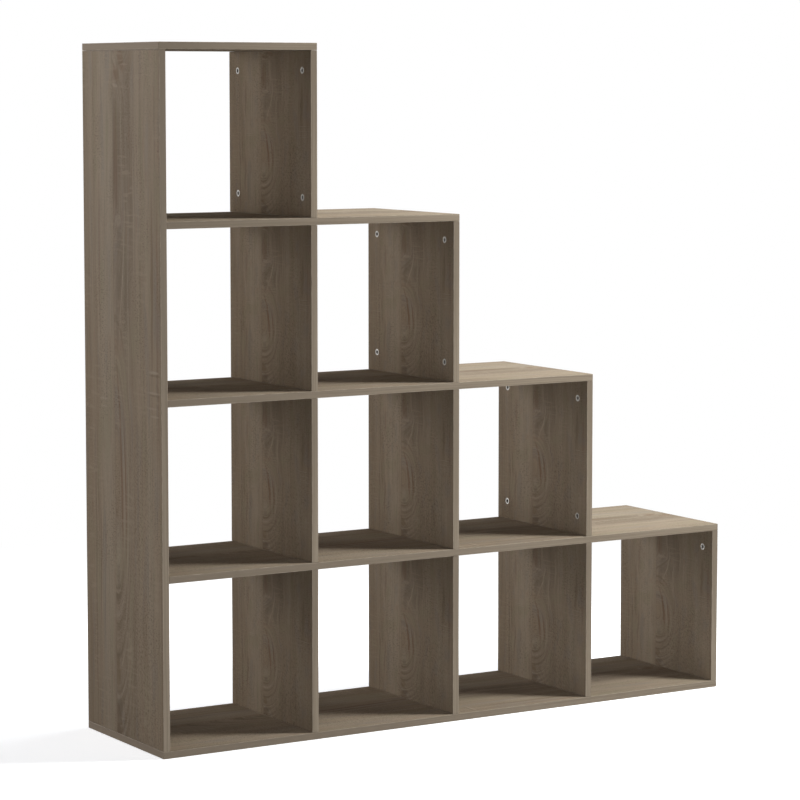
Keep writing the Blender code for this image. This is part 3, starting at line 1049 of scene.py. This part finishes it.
def rings(profile: Outline, sides: int, flutes: int = 0, flute_depth: float = 0.0) -> list[Ring]:
    """Turn an outline round Z.

    Args:
        profile: (radius, z) points. A radius of zero makes a single point.
        sides: how many points a ring has.
        flutes: how many flutes run down the turning.
        flute_depth: how deep they are.

    Returns:
        A ring of points for each point of the outline.
    """
    found = []
    for radius, z in profile:
        ring = []
        for step in range(sides if radius else 1):
            angle = math.tau * step / sides
            inner = radius - (1 - math.cos(angle * flutes)) / 2 * flute_depth
            ring.append((inner * math.cos(angle), inner * math.sin(angle), z))
        found.append(ring)
    return found


@dataclass(frozen=True)
class Thread:
    """A helical thread round Z."""

    start: float
    end: float
    root: float
    crest: float
    pitch: float
    rows_a_turn: int
    slope: float = 3.2

    def rings(self, sides: int) -> list[Ring]:
        """The thread's points.

        Args:
            sides: how many points a ring has.

        Returns:
            Rings of points from start to end.
        """
        rows = max(2, round(abs(self.end - self.start) / self.pitch * self.rows_a_turn))
        found = []
        for row in range(rows + 1):
            z = self.start + (self.end - self.start) * row / rows
            fade = min(1.0, row / self.rows_a_turn, (rows - row) / self.rows_a_turn)
            ring = []
            for step in range(sides):
                angle = math.tau * step / sides
                phase = (z / self.pitch - step / sides) % 1.0
                ridge = max(0.0, 1 - abs(phase - 0.5) * self.slope) * fade
                radius = self.root + (self.crest - self.root) * ridge
                ring.append((radius * math.cos(angle), radius * math.sin(angle), z))
            found.append(ring)
        return found


def skinned(points: Sequence[Ring], at: Matrix = HERE) -> Shape:
    """Close a row of rings into a body.

    Args:
        points: rings in order, of which the first and the last are single points.
        at: where the body is put.

    Returns:
        A closed bmesh.
    """
    shape = bmesh.new()
    rows = [[shape.verts.new(point) for point in ring] for ring in points]
    for upper, lower in zip(rows, rows[1:]):
        sides = max(len(upper), len(lower))
        for step in range(sides):
            after = (step + 1) % sides
            corners = [upper[step % len(upper)], lower[step % len(lower)]]
            corners += [lower[after % len(lower)], upper[after % len(upper)]]
            shape.faces.new(list(dict.fromkeys(corners)))
    bmesh.ops.transform(shape, matrix=at, verts=shape.verts)
    bmesh.ops.recalc_face_normals(shape, faces=shape.faces)
    return shape


def smoothed(mesh: Mesh, sharp_angle: float) -> Mesh:
    """Shade a mesh smooth between its sharp edges.

    Args:
        mesh: the mesh.
        sharp_angle: the angle in degrees from which an edge stays sharp.

    Returns:
        The same mesh.
    """
    mesh.shade_smooth()
    mesh.set_sharp_from_angle(angle=math.radians(sharp_angle))
    return mesh


def evaluated(obj: bpy.types.Object) -> Mesh:
    """The mesh that an object has under its modifiers."""
    bpy.context.view_layer.update()
    return bpy.data.meshes.new_from_object(obj.evaluated_get(bpy.context.evaluated_depsgraph_get()))


def finished(obj: bpy.types.Object, sharp_angle: float) -> Mesh:
    """Apply an object's cuts, and shade it smooth between its sharp edges.

    Args:
        obj: the object; it and what cuts it are removed.
        sharp_angle: the angle in degrees from which an edge stays sharp.

    Returns:
        The finished mesh.
    """
    mesh = evaluated(obj)
    for used in {obj, *(modifier.object for modifier in obj.modifiers)}:
        bpy.data.objects.remove(used)
    return smoothed(mesh, sharp_angle)


def even_normals(mesh: Mesh) -> Mesh:
    """Weight a mesh's normals by face area, so that flat faces look flat beside their rounded arrises.

    Args:
        mesh: the mesh.

    Returns:
        A new mesh with these normals.
    """
    helper = new_object("normals", mesh)
    modifier = helper.modifiers.new("normals", "WEIGHTED_NORMAL")
    modifier.weight = 100
    modifier.keep_sharp = True
    done = evaluated(helper)
    bpy.data.objects.remove(helper)
    return done


def cut(obj: bpy.types.Object, shape: Shape, material_index: int = 0) -> None:
    """Cut a shape out of an object with a Boolean modifier.

    Args:
        obj: what is cut.
        shape: the cutter, which is freed.
        material_index: the material of the new faces.
    """
    for face in shape.faces:
        face.material_index = material_index
    modifier = obj.modifiers.new("cut", "BOOLEAN")
    modifier.operation, modifier.solver = "DIFFERENCE", "EXACT"
    modifier.object = new_object("cutter", mesh_of(shape, "cutter"), [None] * len(obj.data.materials))
    modifier.object.hide_render = True


def place_piece(name: str, mesh: Mesh, node: str, at: Matrix = HERE) -> None:
    """Put a finished mesh in the scene in place of its CAD node.

    Args:
        name: the piece's name.
        mesh: its mesh, in place or round the origin.
        node: the CAD node that it stands for.
        at: where the piece goes, if its mesh isn't in place already.
    """
    piece = new_object(name, mesh)
    piece.matrix_world = at
    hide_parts(node)
    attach(piece, BODY)
    LOG.info("%s stands for %s: %d faces", name, node, len(mesh.polygons))


# Boards


@dataclass(frozen=True)
class Hole:
    """A turned hole: its outline, how many sides it has, and where it is."""

    outline: Outline
    sides: int
    at: Matrix

    def shape(self) -> Shape:
        """The cutter."""
        return skinned(rings(self.outline, self.sides), self.at)


def bore(start: Vector, end: Vector, radius: float, sides: int = 40) -> Hole:
    """A round bore.

    Args:
        start: a point of its axis outside the board.
        end: where the axis ends inside it.
        radius: its radius.
        sides: how many sides it has.

    Returns:
        The hole.
    """
    way = end - start
    at = Matrix.Translation(start) @ way.to_track_quat("Z", "Y").to_matrix().to_4x4()
    return Hole([(0, way.length), (radius, way.length), (radius, 0), (0, 0)], sides, at)


@dataclass
class Board:
    """A melamine board with rounded, banded edges, its holes, and the maps that carry its grain."""

    node: str
    run: Run
    hidden_ends: tuple[bool, bool]
    number: int
    holes: list[Hole] = field(default_factory=list)
    arris: float = 0.0006
    arris_segments: int = 3
    glue_line: float = 0.0004
    sharp_angle: float = 35
    figure_length: float = 1.43
    next_board: float = 2.0
    other_face: float = 40.0
    next_board_band: float = 3.1
    next_axis_band: float = 7.0
    opposite_band: float = 11.0

    def __post_init__(self) -> None:
        """Take the board's corners from the frame."""
        self.low, self.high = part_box(self.node)
        self.along = self.run.value
        self.normal = Z if self.run is Run.LEVEL else X

    def _blank(self) -> Shape:
        """The board before it is drilled.

        Returns:
            A box with rounded arrises and a fine border on its two faces.
        """
        shape = block(self.low, self.high)
        edges, segments = list(shape.edges), self.arris_segments
        bmesh.ops.bevel(shape, geom=edges, offset=self.arris, segments=segments, profile=0.5, affect="EDGES")
        shape.normal_update()
        faces = [face for face in shape.faces if self._flat(face, self.normal)]
        border = bmesh.ops.inset_region(shape, faces=faces, thickness=self.glue_line, use_even_offset=True)
        shape.normal_update()
        skins = dict.fromkeys(faces, Skin.DECOR) | dict.fromkeys(border["faces"], Skin.GLUE_LINE)
        for face in shape.faces:
            face.smooth = True
            hidden = self._flat(face, self.along) and self.hidden_ends[face.normal[self.along] > 0]
            face.material_index = skins.get(face, Skin.CORE if hidden else Skin.BAND)
        return shape

    @staticmethod
    def _flat(face: bmesh.types.BMFace, axis: int) -> bool:
        """Whether a face is square to an axis."""
        return abs(face.normal[axis]) > SQUARE_ON

    def _face_maps(self, normal: Vector, run: float, share: float, point: Vector) -> Outline:
        """Where a point of a decor face lies on the two maps.

        Args:
            normal: the face's normal.
            run: how far along the board the point is.
            share: the same as a share of the board's length.
            point: the point.

        Returns:
            Its place on the grain map and on the figure map.
        """
        across, shift = self.high.y - point.y, self.number * self.next_board
        figure = share * self.figure_length
        if (normal[self.normal] > 0) == (self.run is Run.LEVEL):
            return (run + shift, across), (figure, across)
        return (run - shift - self.other_face, across), (self.figure_length - figure, across)

    def _band_maps(self, normal: Vector, share: float, point: Vector) -> Outline:
        """Where a point of a band or an end lies on the two maps.

        Args:
            normal: the face's normal.
            share: how far along the board the point is, as a share of its length.
            point: the point.

        Returns:
            Its place on the grain map and on the figure map.
        """
        way = max((X, Y, Z), key=lambda axis: abs(normal[axis]))
        long_axis = self.along if way != self.along else Y
        shift = self.number * self.next_board_band + way * self.next_axis_band
        shift += self.opposite_band if normal[way] > 0 else 0.0
        across = point[self.normal] - self.low[self.normal]
        grain = (point[long_axis] - self.low[long_axis] + shift, across)
        return grain, (share if self.run is Run.LEVEL else 1.0 - share, across)

    def _map_grain(self, shape: Shape) -> None:
        """Write the two maps: true metres, and the decor's figure, which spans the board from end to end.

        Args:
            shape: the blank.
        """
        layers = shape.loops.layers.uv
        grain, figure = layers.new(GRAIN_MAP), layers.new(FIGURE_MAP)
        length = self.high[self.along] - self.low[self.along]
        for face in shape.faces:
            printed = face.material_index in (Skin.DECOR, Skin.GLUE_LINE)
            for loop in face.loops:
                point = loop.vert.co
                run = point[self.along] - self.low[self.along]
                if printed:
                    maps = self._face_maps(face.normal, run, run / length, point)
                else:
                    maps = self._band_maps(face.normal, run / length, point)
                loop[grain].uv, loop[figure].uv = maps

    def build(self, materials: list[Material]) -> None:
        """Shape, map, drill and dress the board, in place of its CAD node.

        Args:
            materials: the board's materials by Skin.
        """
        shape = self._blank()
        self._map_grain(shape)
        name = f"panel_{self.node}"
        blank = new_object(name, mesh_of(shape, name), materials)
        for hole in self.holes:
            cut(blank, hole.shape(), Skin.CORE)
        mesh = even_normals(finished(blank, self.sharp_angle))
        mesh.name = name
        place_piece(name, mesh, self.node)


class Carcass:
    """The sixteen boards: level boards run through, uprights stand between them."""

    def __init__(self, plan: CarcassPlan) -> None:
        """Lay out the boards of the plan.

        Args:
            plan: the carcass sizes.
        """
        numbers = count()
        names = {0: "bottom_board", plan.top_level: "top_board"}
        self.levels: dict[int, Board] = {}
        for level in range(plan.top_level + 1):
            name = names.get(level, f"shelf_level_{level}")
            self.levels[level] = Board(name, Run.LEVEL, (level not in names, False), next(numbers))
        self.left_side = Board("left_side", Run.UPRIGHT, (True, True), next(numbers))
        self.uprights: dict[tuple[int, int], Board] = {}
        for row in range(plan.top_level):
            for column in range(1, plan.end_column(row) + 1):
                outer = column == plan.end_column(row)
                name = f"right_side_row_{row + 1}" if outer else f"divider_row_{row + 1}_{column}"
                self.uprights[row, column] = Board(name, Run.UPRIGHT, (True, True), next(numbers))

    def build(self, finishes: FinishSet) -> None:
        """Build every board, level boards first."""
        for board in (*self.levels.values(), self.left_side, *self.uprights.values()):
            board.build(finishes.board)


# Fittings


@dataclass
class Fitting:
    """What every kind of fitting is laid out with."""

    plan: CarcassPlan
    surface_recess: float = 0.0003
    clearance: float = 0.0002
    overrun: float = 0.003


@dataclass(frozen=True)
class CamPlace:
    """Where a cam connector sits: its node, its boards, the drum's centre, the way out and the bolt's way."""

    node: str
    cam_board: Board
    screwed_board: Board
    centre: Vector
    face: Vector
    along: Vector


@dataclass
class CamConnectors(Fitting):
    """The twenty-two connectors: a zinc drum with a cross recess, and the bolt that it grips."""

    drum_radius: float = 0.0073
    bore_radius: float = 0.0075
    drum_height: float = 0.0118
    from_end: float = 0.041
    from_edge: float = 0.037
    rim_round: float = 0.0004
    ring_width: float = 0.0027
    dish_depth: float = 0.0016
    dish_slope: float = 0.0005
    cross_length: float = 0.0070
    cross_width: float = 0.0018
    cross_depth: float = 0.0036
    claw_width: float = 0.0062
    claw_from: float = 0.0020
    head_from: float = 0.0010
    head_length: float = 0.0040
    head_radius: float = 0.0027
    neck_length: float = 0.0045
    neck_radius: float = 0.0015
    shank_radius: float = 0.0030
    collar_length: float = 0.0020
    collar_radius: float = 0.0036
    thread_radius: float = 0.0025
    thread_root: float = 0.0019
    thread_length: float = 0.0105
    thread_pitch: float = 0.0016
    thread_rows: int = 8
    chamfer: float = 0.0006
    sharp_angle: float = 32
    sides: int = 48

    def _drum(self) -> Shape:
        """The drum round Z, its recessed end up, just under z = 0.

        Returns:
            The drum, with its faces' materials.
        """
        top, rim, fine = -self.surface_recess, self.drum_radius, self.rim_round / 4
        foot, floor = top - self.drum_height, top - self.dish_depth
        dish = rim - self.rim_round - self.ring_width
        profile = [
            (0, floor),
            (dish - self.dish_slope, floor),
            (dish - self.dish_slope / 4, top - self.dish_slope),
            (dish, top - fine),
            (dish + self.rim_round / 2, top),
            (rim - self.rim_round, top),
            (rim - fine, top - fine),
            (rim, top - self.rim_round),
            (rim, foot + self.chamfer),
            (rim - self.chamfer, foot),
            (0, foot),
        ]
        drum = skinned(rings(profile, self.sides))
        drum.normal_update()
        for face in drum.faces:
            middle = face.calc_center_median()
            inside = math.hypot(middle.x, middle.y) < dish - self.dish_slope / 5
            recessed = inside and middle.z > top - self.dish_depth * 1.5
            # the dish and cross recess take the darker zinc: painted shade together with grime
            face.material_index = CamSkin.RECESS if recessed else CamSkin.DRUM
        return drum

    def _bolt(self) -> Shape:
        """The bolt along +X from the drum's axis.

        Returns:
            The bolt, with a turned shank and a helical thread.
        """
        head_end = self.head_from + self.head_length
        neck_end = head_end + self.neck_length
        collar_start = self.from_end - self.collar_length
        tip = self.from_end + self.plan.seam_gap + self.thread_length
        profile = [
            (0, self.head_from),
            (self.head_radius - self.chamfer, self.head_from),
            (self.head_radius, self.head_from + self.chamfer),
            (self.head_radius, head_end - self.chamfer),
            (self.head_radius - self.chamfer, head_end),
            (self.neck_radius, head_end),
            (self.neck_radius, neck_end),
            (self.shank_radius - self.chamfer, neck_end),
            (self.shank_radius, neck_end + self.chamfer),
            (self.shank_radius, collar_start),
            (self.collar_radius, collar_start),
            (self.collar_radius, self.from_end),
            (self.thread_root, self.from_end),
        ]
        start, end = self.from_end + self.chamfer / 2, tip - self.chamfer
        thread = Thread(start, end, self.thread_root, self.thread_radius, self.thread_pitch, self.thread_rows)
        sides, point = self.sides // 2, [(self.thread_root - self.chamfer, tip), (0, tip)]
        turn = Matrix.Translation((0, 0, -self.plan.half_board)) @ Matrix.Rotation(math.pi / 2, 4, "Y")
        bolt = skinned([*rings(profile, sides), *thread.rings(sides), *rings(point, sides)], turn)
        for face in bolt.faces:
            face.material_index = CamSkin.BOLT
        return bolt

    def mesh(self, materials: list[Material]) -> Mesh:
        """The whole connector round the drum's axis.

        Args:
            materials: the connector's materials by CamSkin.

        Returns:
            The mesh that every connector shares.
        """
        body = new_object("drum", mesh_of(self._drum(), "drum"), materials)
        long_half, short_half, claw_half = self.cross_length / 2, self.cross_width / 2, self.claw_width / 2
        foot, axis = -self.surface_recess - self.cross_depth, -self.plan.half_board
        for x, y in ((long_half, short_half), (short_half, long_half)):
            cut(body, block((-x, -y, foot), (x, y, self.overrun)), CamSkin.RECESS)
        far = self.drum_radius + self.overrun
        claw = block((self.claw_from, -claw_half, axis - claw_half), (far, claw_half, axis + claw_half))
        cut(body, claw, CamSkin.DRUM)
        joined = bmesh.new()
        for part in (finished(body, self.sharp_angle), mesh_of(self._bolt(), "bolt")):
            joined.from_mesh(part)
            bpy.data.meshes.remove(part)
        mesh = mesh_of(joined, "cam_connector")
        for material in materials:
            mesh.materials.append(material)
        return even_normals(smoothed(mesh, self.sharp_angle))

    def places(self, carcass: Carcass) -> list[CamPlace]:
        """Lay out the connectors.

        Args:
            carcass: the boards that they hold together.

        Returns:
            Where each connector sits.
        """
        plan, levels, left_side, found = self.plan, carcass.levels, carcass.left_side, []
        inner_face, from_board = plan.wall_left(0) + plan.thickness, plan.seam_gap + self.from_end
        for edge, y in plan.both_edges(self.from_edge).items():
            top = plan.top_level
            centre = Vector((inner_face, y, plan.board_bottom(top) - from_board))
            found.append(CamPlace(f"cam_left_side_top_{edge}", left_side, levels[top], centre, RIGHT, UP))
            for level in range(1, top):
                centre = Vector((inner_face + from_board, y, plan.board_bottom(level)))
                name = f"cam_shelf_level_{level}_{edge}"
                found.append(CamPlace(name, levels[level], left_side, centre, DOWN, LEFT))
            for row in range(top):
                column = plan.end_column(row)
                ends = {"top": (plan.board_bottom(row + 1) - from_board, row + 1, UP)}
                if row > 0:
                    ends["bottom"] = (plan.board_top(row) + from_board, row, DOWN)
                for end, (z, level, along) in ends.items():
                    name = f"cam_right_side_row_{row + 1}_{end}_{edge}"
                    centre = Vector((plan.wall_left(column), y, z))
                    side = carcass.uprights[row, column]
                    found.append(CamPlace(name, side, levels[level], centre, LEFT, along))
        return found

    def drill(self, place: CamPlace) -> None:
        """Add a connector's bores to its two boards.

        Args:
            place: where it sits.
        """
        centre, face, along, sides = place.centre, place.face, place.along, self.sides // 2
        depth = self.surface_recess + self.drum_height + self.clearance
        axis = centre - face * self.plan.half_board
        end = axis + along * self.from_end
        stop = end + along * (self.plan.seam_gap + self.thread_length + self.clearance)
        shaft, pilot = self.collar_radius + self.clearance, self.thread_radius + self.clearance
        place.cam_board.holes += [
            bore(centre + face * self.overrun, centre - face * depth, self.bore_radius),
            bore(end + along * self.overrun, axis, shaft, sides),
        ]
        place.screwed_board.holes.append(bore(end - along * self.overrun, stop, pilot, sides))

    def build(self, places: list[CamPlace], finishes: FinishSet) -> None:
        """Put a connector at each place.

        Args:
            places: where they sit.
            finishes: the materials.
        """
        mesh = self.mesh(finishes.cam)
        for place in places:
            turn = Matrix((place.along, place.face.cross(place.along), place.face)).transposed().to_4x4()
            name = place.node.replace("cam_", "connector_")
            place_piece(name, mesh, place.node, Matrix.Translation(place.centre) @ turn)


@dataclass(frozen=True)
class DowelPlace:
    """Where a dowel sits: its node, its two ends, and the boards that it enters."""

    node: str
    low: Vector
    high: Vector
    boards: tuple[Board, ...]


@dataclass
class Dowels(Fitting):
    """The twelve fluted beech dowels of the dividers."""

    radius: float = 0.0040
    flute_depth: float = 0.0003
    flutes: int = 16
    in_upright: float = 0.020
    in_shelf: float = 0.010
    from_edge: float = 0.069
    chamfer: float = 0.0008
    sharp_angle: float = 40
    points_a_flute: int = 4

    def places(self, carcass: Carcass) -> list[DowelPlace]:
        """Lay out the dowels: through ones where dividers stand over each other, short ones elsewhere.

        Args:
            carcass: the boards that they hold in line.

        Returns:
            Where each dowel sits.
        """
        plan, found = self.plan, []
        for level in range(1, plan.top_level):
            under, over = plan.board_bottom(level), plan.board_top(level)
            for column in range(1, plan.end_column(level) + 1):
                low, high = under - plan.seam_gap - self.in_upright, under + self.in_shelf
                boards = [carcass.uprights[level - 1, column], carcass.levels[level]]
                if column < plan.end_column(level):
                    high = over + plan.seam_gap + self.in_upright
                    boards.append(carcass.uprights[level, column])
                for edge, y in plan.both_edges(self.from_edge).items():
                    name = f"dowel_shelf_level_{level}_column_{column}_{edge}"
                    ends = [Vector((plan.wall_middle(column), y, z)) for z in (low, high)]
                    found.append(DowelPlace(name, *ends, tuple(boards)))
        return found

    def drill(self, place: DowelPlace) -> None:
        """Add a dowel's bores to its boards.

        Args:
            place: where it sits.
        """
        x, y, _ = place.low
        for board in place.boards:
            start = max(place.low.z - self.clearance, board.low.z - self.overrun)
            end = min(place.high.z + self.clearance, board.high.z + self.overrun)
            ends = Vector((x, y, start)), Vector((x, y, end))
            board.holes.append(bore(*ends, self.radius + self.clearance, self.flutes * 2))

    def mesh(self, length: float, materials: list[Material]) -> Mesh:
        """A dowel that stands on the origin.

        Args:
            length: its length.
            materials: its one finish.

        Returns:
            The mesh, with its grain map.
        """
        steps = ((self.chamfer, 0.0), (self.chamfer / 4, self.chamfer / 2), (0.0, self.chamfer))
        foot = [(self.radius - inward, z) for inward, z in steps]
        head = [(radius, length - z) for radius, z in reversed(foot)]
        profile = [(0, 0.0), *foot, *head, (0, length)]
        shape = skinned(rings(profile, self.flutes * self.points_a_flute, self.flutes, self.flute_depth))
        grain = shape.loops.layers.uv.new(GRAIN_MAP)
        for face in shape.faces:
            for loop in face.loops:
                x, y, z = loop.vert.co
                loop[grain].uv = (z, math.atan2(y, x) * self.radius)
        mesh = mesh_of(shape, "dowel")
        mesh.materials.append(*materials)
        return smoothed(mesh, self.sharp_angle)

    def build(self, places: list[DowelPlace], finishes: FinishSet) -> None:
        """Put a dowel at each place.

        Args:
            places: where they sit.
            finishes: the materials.
        """
        meshes: dict[float, Mesh] = {}
        for place in places:
            length = round(place.high.z - place.low.z, 6)
            if length not in meshes:
                meshes[length] = self.mesh(length, finishes.dowel)
            name = place.node.replace("dowel_", "beech_dowel_")
            place_piece(name, meshes[length], place.node, Matrix.Translation(place.low))


@dataclass
class BottomScrews(Fitting):
    """The ten countersunk screws that stand head down in the bottom board."""

    length: float = 0.050
    from_edge: float = 0.050
    head_radius: float = 0.0049
    head_height: float = 0.0042
    head_rim: float = 0.0004
    shank_radius: float = 0.0034
    crest_radius: float = 0.0033
    root_radius: float = 0.0023
    tip_length: float = 0.0040
    pitch: float = 0.0030
    thread_rows: int = 10
    socket_radius: float = 0.0023
    socket_depth: float = 0.0026
    socket_sides: int = 6
    sharp_angle: float = 38
    sides: int = 32

    def spots(self) -> dict[str, tuple[int, Vector]]:
        """Lay out the screws.

        Returns:
            Column and foot of each screw, by node.
        """
        found = {}
        for column in range(self.plan.columns + 1):
            for edge, y in self.plan.both_edges(self.from_edge).items():
                foot = Vector((self.plan.wall_middle(column), y, self.surface_recess))
                found[f"screw_column_{column}_{edge}"] = (column, foot)
        return found

    def _countersink(self, foot: Vector) -> Hole:
        """The hole in the bottom board round a screw.

        Args:
            foot: the middle of the screw's head.

        Returns:
            The hole.
        """
        head, shank = self.head_radius + self.clearance, self.shank_radius + self.clearance
        above, below = self.plan.thickness + self.overrun, -self.overrun
        neck = (shank, self.surface_recess + self.head_height)
        profile = [(0, above), (shank, above), neck, (head, self.surface_recess), (head, below), (0, below)]
        return Hole(profile, self.sides, Matrix.Translation((foot.x, foot.y, 0)))

    def drill(self, carcass: Carcass) -> None:
        """Add the screws' holes to the bottom board and the uprights on it.

        Args:
            carcass: the boards.
        """
        for column, foot in self.spots().values():
            carcass.levels[0].holes.append(self._countersink(foot))
            upright = carcass.uprights[0, column] if column else carcass.left_side
            start = Vector((foot.x, foot.y, self.plan.board_top(0) - self.overrun))
            end = Vector((foot.x, foot.y, foot.z + self.length + self.clearance))
            upright.holes.append(bore(start, end, self.crest_radius + self.clearance, self.sides))

    def mesh(self, materials: list[Material]) -> Mesh:
        """A screw whose head's face is at z = 0 and whose tip is up.

        Args:
            materials: the screw's material.

        Returns:
            The mesh that every screw shares.
        """
        shank_end = self.plan.thickness - self.surface_recess
        profile = [
            (0, 0),
            (self.head_radius - self.head_rim / 2, 0),
            (self.head_radius, self.head_rim / 2),
            (self.head_radius, self.head_rim),
            (self.shank_radius, self.head_height),
            (self.shank_radius, shank_end - self.head_rim * 2),
            (self.root_radius, shank_end),
        ]
        start, end = shank_end + self.head_rim, self.length - self.tip_length
        thread = Thread(start, end, self.root_radius, self.crest_radius, self.pitch, self.thread_rows)
        turning = [*rings(profile, self.sides), *thread.rings(self.sides), *rings([(0, self.length)], 1)]
        body = new_object("screw", mesh_of(skinned(turning), "screw"), materials)
        radius, depth, below = self.socket_radius, self.socket_depth, -self.overrun
        socket = [(0, depth), (radius, depth), (radius, below), (0, below)]
        cut(body, skinned(rings(socket, self.socket_sides)))
        return even_normals(finished(body, self.sharp_angle))

    def build(self, finishes: FinishSet) -> None:
        """Put a screw at each spot.

        Args:
            finishes: the materials.
        """
        mesh = self.mesh(finishes.screw)
        for node, (_, foot) in self.spots().items():
            name = node.replace("screw_", "furniture_screw_")
            place_piece(name, mesh, node, Matrix.Translation(foot))


# Studio


@dataclass(frozen=True)
class PhotoCamera:
    """The camera that the photograph was taken with, as worked out from the carcass's corners."""

    position: Point = (-3.4156, -5.5202, 1.3750)
    yaw: float = 0.5499
    pitch: float = -0.0891
    lens: float = 133.72
    sensor: float = 36.0
    shift_x: float = -0.0006
    shift_y: float = -0.0636
    far_end: float = 100.0

    def build(self) -> None:
        """Make the scene's camera."""
        data = bpy.data.cameras.new("photo_camera")
        data.lens, data.sensor_width, data.clip_end = self.lens, self.sensor, self.far_end
        data.shift_x, data.shift_y = self.shift_x, self.shift_y
        level = math.cos(self.pitch)
        forward = Vector((math.sin(self.yaw) * level, math.cos(self.yaw) * level, math.sin(self.pitch)))
        side = Vector((math.cos(self.yaw), -math.sin(self.yaw), 0))
        turn = Matrix((side, side.cross(forward), -forward)).transposed().to_4x4()
        camera = new_object("photo_camera", data)
        camera.matrix_world = Matrix.Translation(self.position) @ turn
        bpy.context.scene.camera = camera


@dataclass(frozen=True)
class SoftLamp:
    """An area lamp that points at a place."""

    name: str
    position: Point
    aim: Point
    width: float
    height: float
    watts: float
    colour: Colour = WHITE

    def build(self) -> None:
        """Make the lamp."""
        data = bpy.data.lights.new(self.name, "AREA")
        data.shape, data.size, data.size_y = "RECTANGLE", self.width, self.height
        data.energy, data.color = self.watts, self.colour
        lamp = new_object(self.name, data)
        lamp.location = self.position
        lamp.rotation_euler = (Vector(self.aim) - Vector(self.position)).to_track_quat("-Z", "Y").to_euler()
        lamp.visible_camera = lamp.visible_glossy = False


@dataclass
class Studio:
    """A pale floor, a white surround, and soft lamps."""

    lamps: tuple[SoftLamp, ...] = (
        SoftLamp("key", (1.61, -1.12, 2.45), (0.10, 0.0, 0.60), 0.46, 0.90, 78.0, (0.97, 1.0, 1.0)),
        SoftLamp("overhead", (0.80, 0.0, 3.20), (0.80, 0.0, 0.50), 1.4, 1.4, 45.0, (0.94, 1.0, 1.04)),
        SoftLamp("left_high", (-2.05, 0.0, 2.60), (-0.70, 0.0, 1.20), 1.0, 1.0, 13.0, (0.95, 1.0, 1.10)),
        SoftLamp("back_left", (-4.25, 2.85, 1.50), (-0.20, 0.0, 0.70), 2.0, 2.0, 54.0, (1.04, 1.0, 0.96)),
        SoftLamp("back", (-1.45, 4.75, 1.70), (-0.20, 0.0, 0.70), 2.0, 2.0, 97.0, (1.01, 1.0, 1.03)),
        SoftLamp("front_left", (-3.50, -3.60, 0.60), (-0.20, 0.0, 0.70), 1.6, 0.8, 15.5),
        SoftLamp("front", (-0.50, -2.10, 0.12), (-0.36, 0.0, 0.20), 1.0, 0.24, 7.5, (0.96, 1.0, 1.05)),
    )
    surround: float = 0.02
    floor_size: float = 40.0
    floor_gap: float = 0.0004
    floor_white: Colour = (0.93, 0.93, 0.93)
    floor_bounce: Colour = (0.40, 0.39, 0.38)
    floor_lift: float = 0.55
    white_from: float = 1.1
    white_by: float = 2.6

    @staticmethod
    def _shown(sheet: NodeSheet, light: Wire, look: Wire) -> Wire:
        """One shader for the light itself, and another for what the camera, gloss or glass sees.

        Args:
            sheet: the node tree.
            light: the shader that light meets.
            look: the shader that is seen.

        Returns:
            The mixed shader.
        """
        path = sheet.node("LightPath")
        seen = sheet.math("MAXIMUM", path["Is Camera Ray"], path["Is Glossy Ray"])
        seen = sheet.math("MAXIMUM", seen, path["Is Transmission Ray"])
        return sheet.node("MixShader", (seen, light, look))[0]

    def _surround(self) -> None:
        """Light from all round, which the camera and gloss see as white."""
        world = bpy.data.worlds.new("surround")
        bpy.context.scene.world = world
        world.use_nodes = True
        world.node_tree.nodes.clear()
        sheet = NodeSheet(world.node_tree)
        fill = sheet.node("Background", (WHITE, self.surround))[0]
        sheet.node("OutputWorld", (self._shown(sheet, fill, sheet.node("Background", (WHITE,))[0]),))

    def _floor(self) -> None:
        """A pale floor that keeps the bookcase's shadow and throws little light back up."""
        sheet = MaterialSheet("pale_floor")
        sheet.tree.nodes.clear()
        shadowed = sheet.node("BsdfDiffuse", (self.floor_white,))[0]
        lift, white = (sheet.node("Emission", {"Strength": glow})[0] for glow in (self.floor_lift, 1.0))
        near = sheet.node("AddShader", (shadowed, lift))[0]
        away = sheet.node("VectorMath", (sheet.node("NewGeometry")["Position"],), operation="LENGTH")["Value"]
        look = sheet.node("MixShader", (sheet.ramp(away, self.white_from, self.white_by), near, white))[0]
        bounce = sheet.node("BsdfDiffuse", (self.floor_bounce,))[0]
        sheet.node("OutputMaterial", (self._shown(sheet, bounce, look),))
        shape = bmesh.new()
        bmesh.ops.create_grid(shape, x_segments=1, y_segments=1, size=self.floor_size / 2)
        floor = new_object("floor", mesh_of(shape, "floor"), [sheet.material])
        floor.location.z = -self.floor_gap

    def build(self) -> None:
        """Make the floor, the surround and the lamps, and set how colours are shown."""
        bpy.context.scene.view_settings.view_transform = "Standard"
        self._surround()
        self._floor()
        for lamp in self.lamps:
            lamp.build()


def main() -> None:
    """Build the bookcase's looks, its studio and its camera."""
    logging.basicConfig(level=logging.INFO, format="%(name)s: %(message)s")
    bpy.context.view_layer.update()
    finishes = FinishSet()
    carcass = Carcass(PLAN)
    connectors, dowels, screws = CamConnectors(PLAN), Dowels(PLAN), BottomScrews(PLAN)
    cam_places, dowel_places = connectors.places(carcass), dowels.places(carcass)
    for cam_place in cam_places:
        connectors.drill(cam_place)
    for dowel_place in dowel_places:
        dowels.drill(dowel_place)
    screws.drill(carcass)
    carcass.build(finishes)
    connectors.build(cam_places, finishes)
    dowels.build(dowel_places, finishes)
    screws.build(finishes)
    Studio().build()
    PhotoCamera().build()


if __name__ == "__main__":
    main()
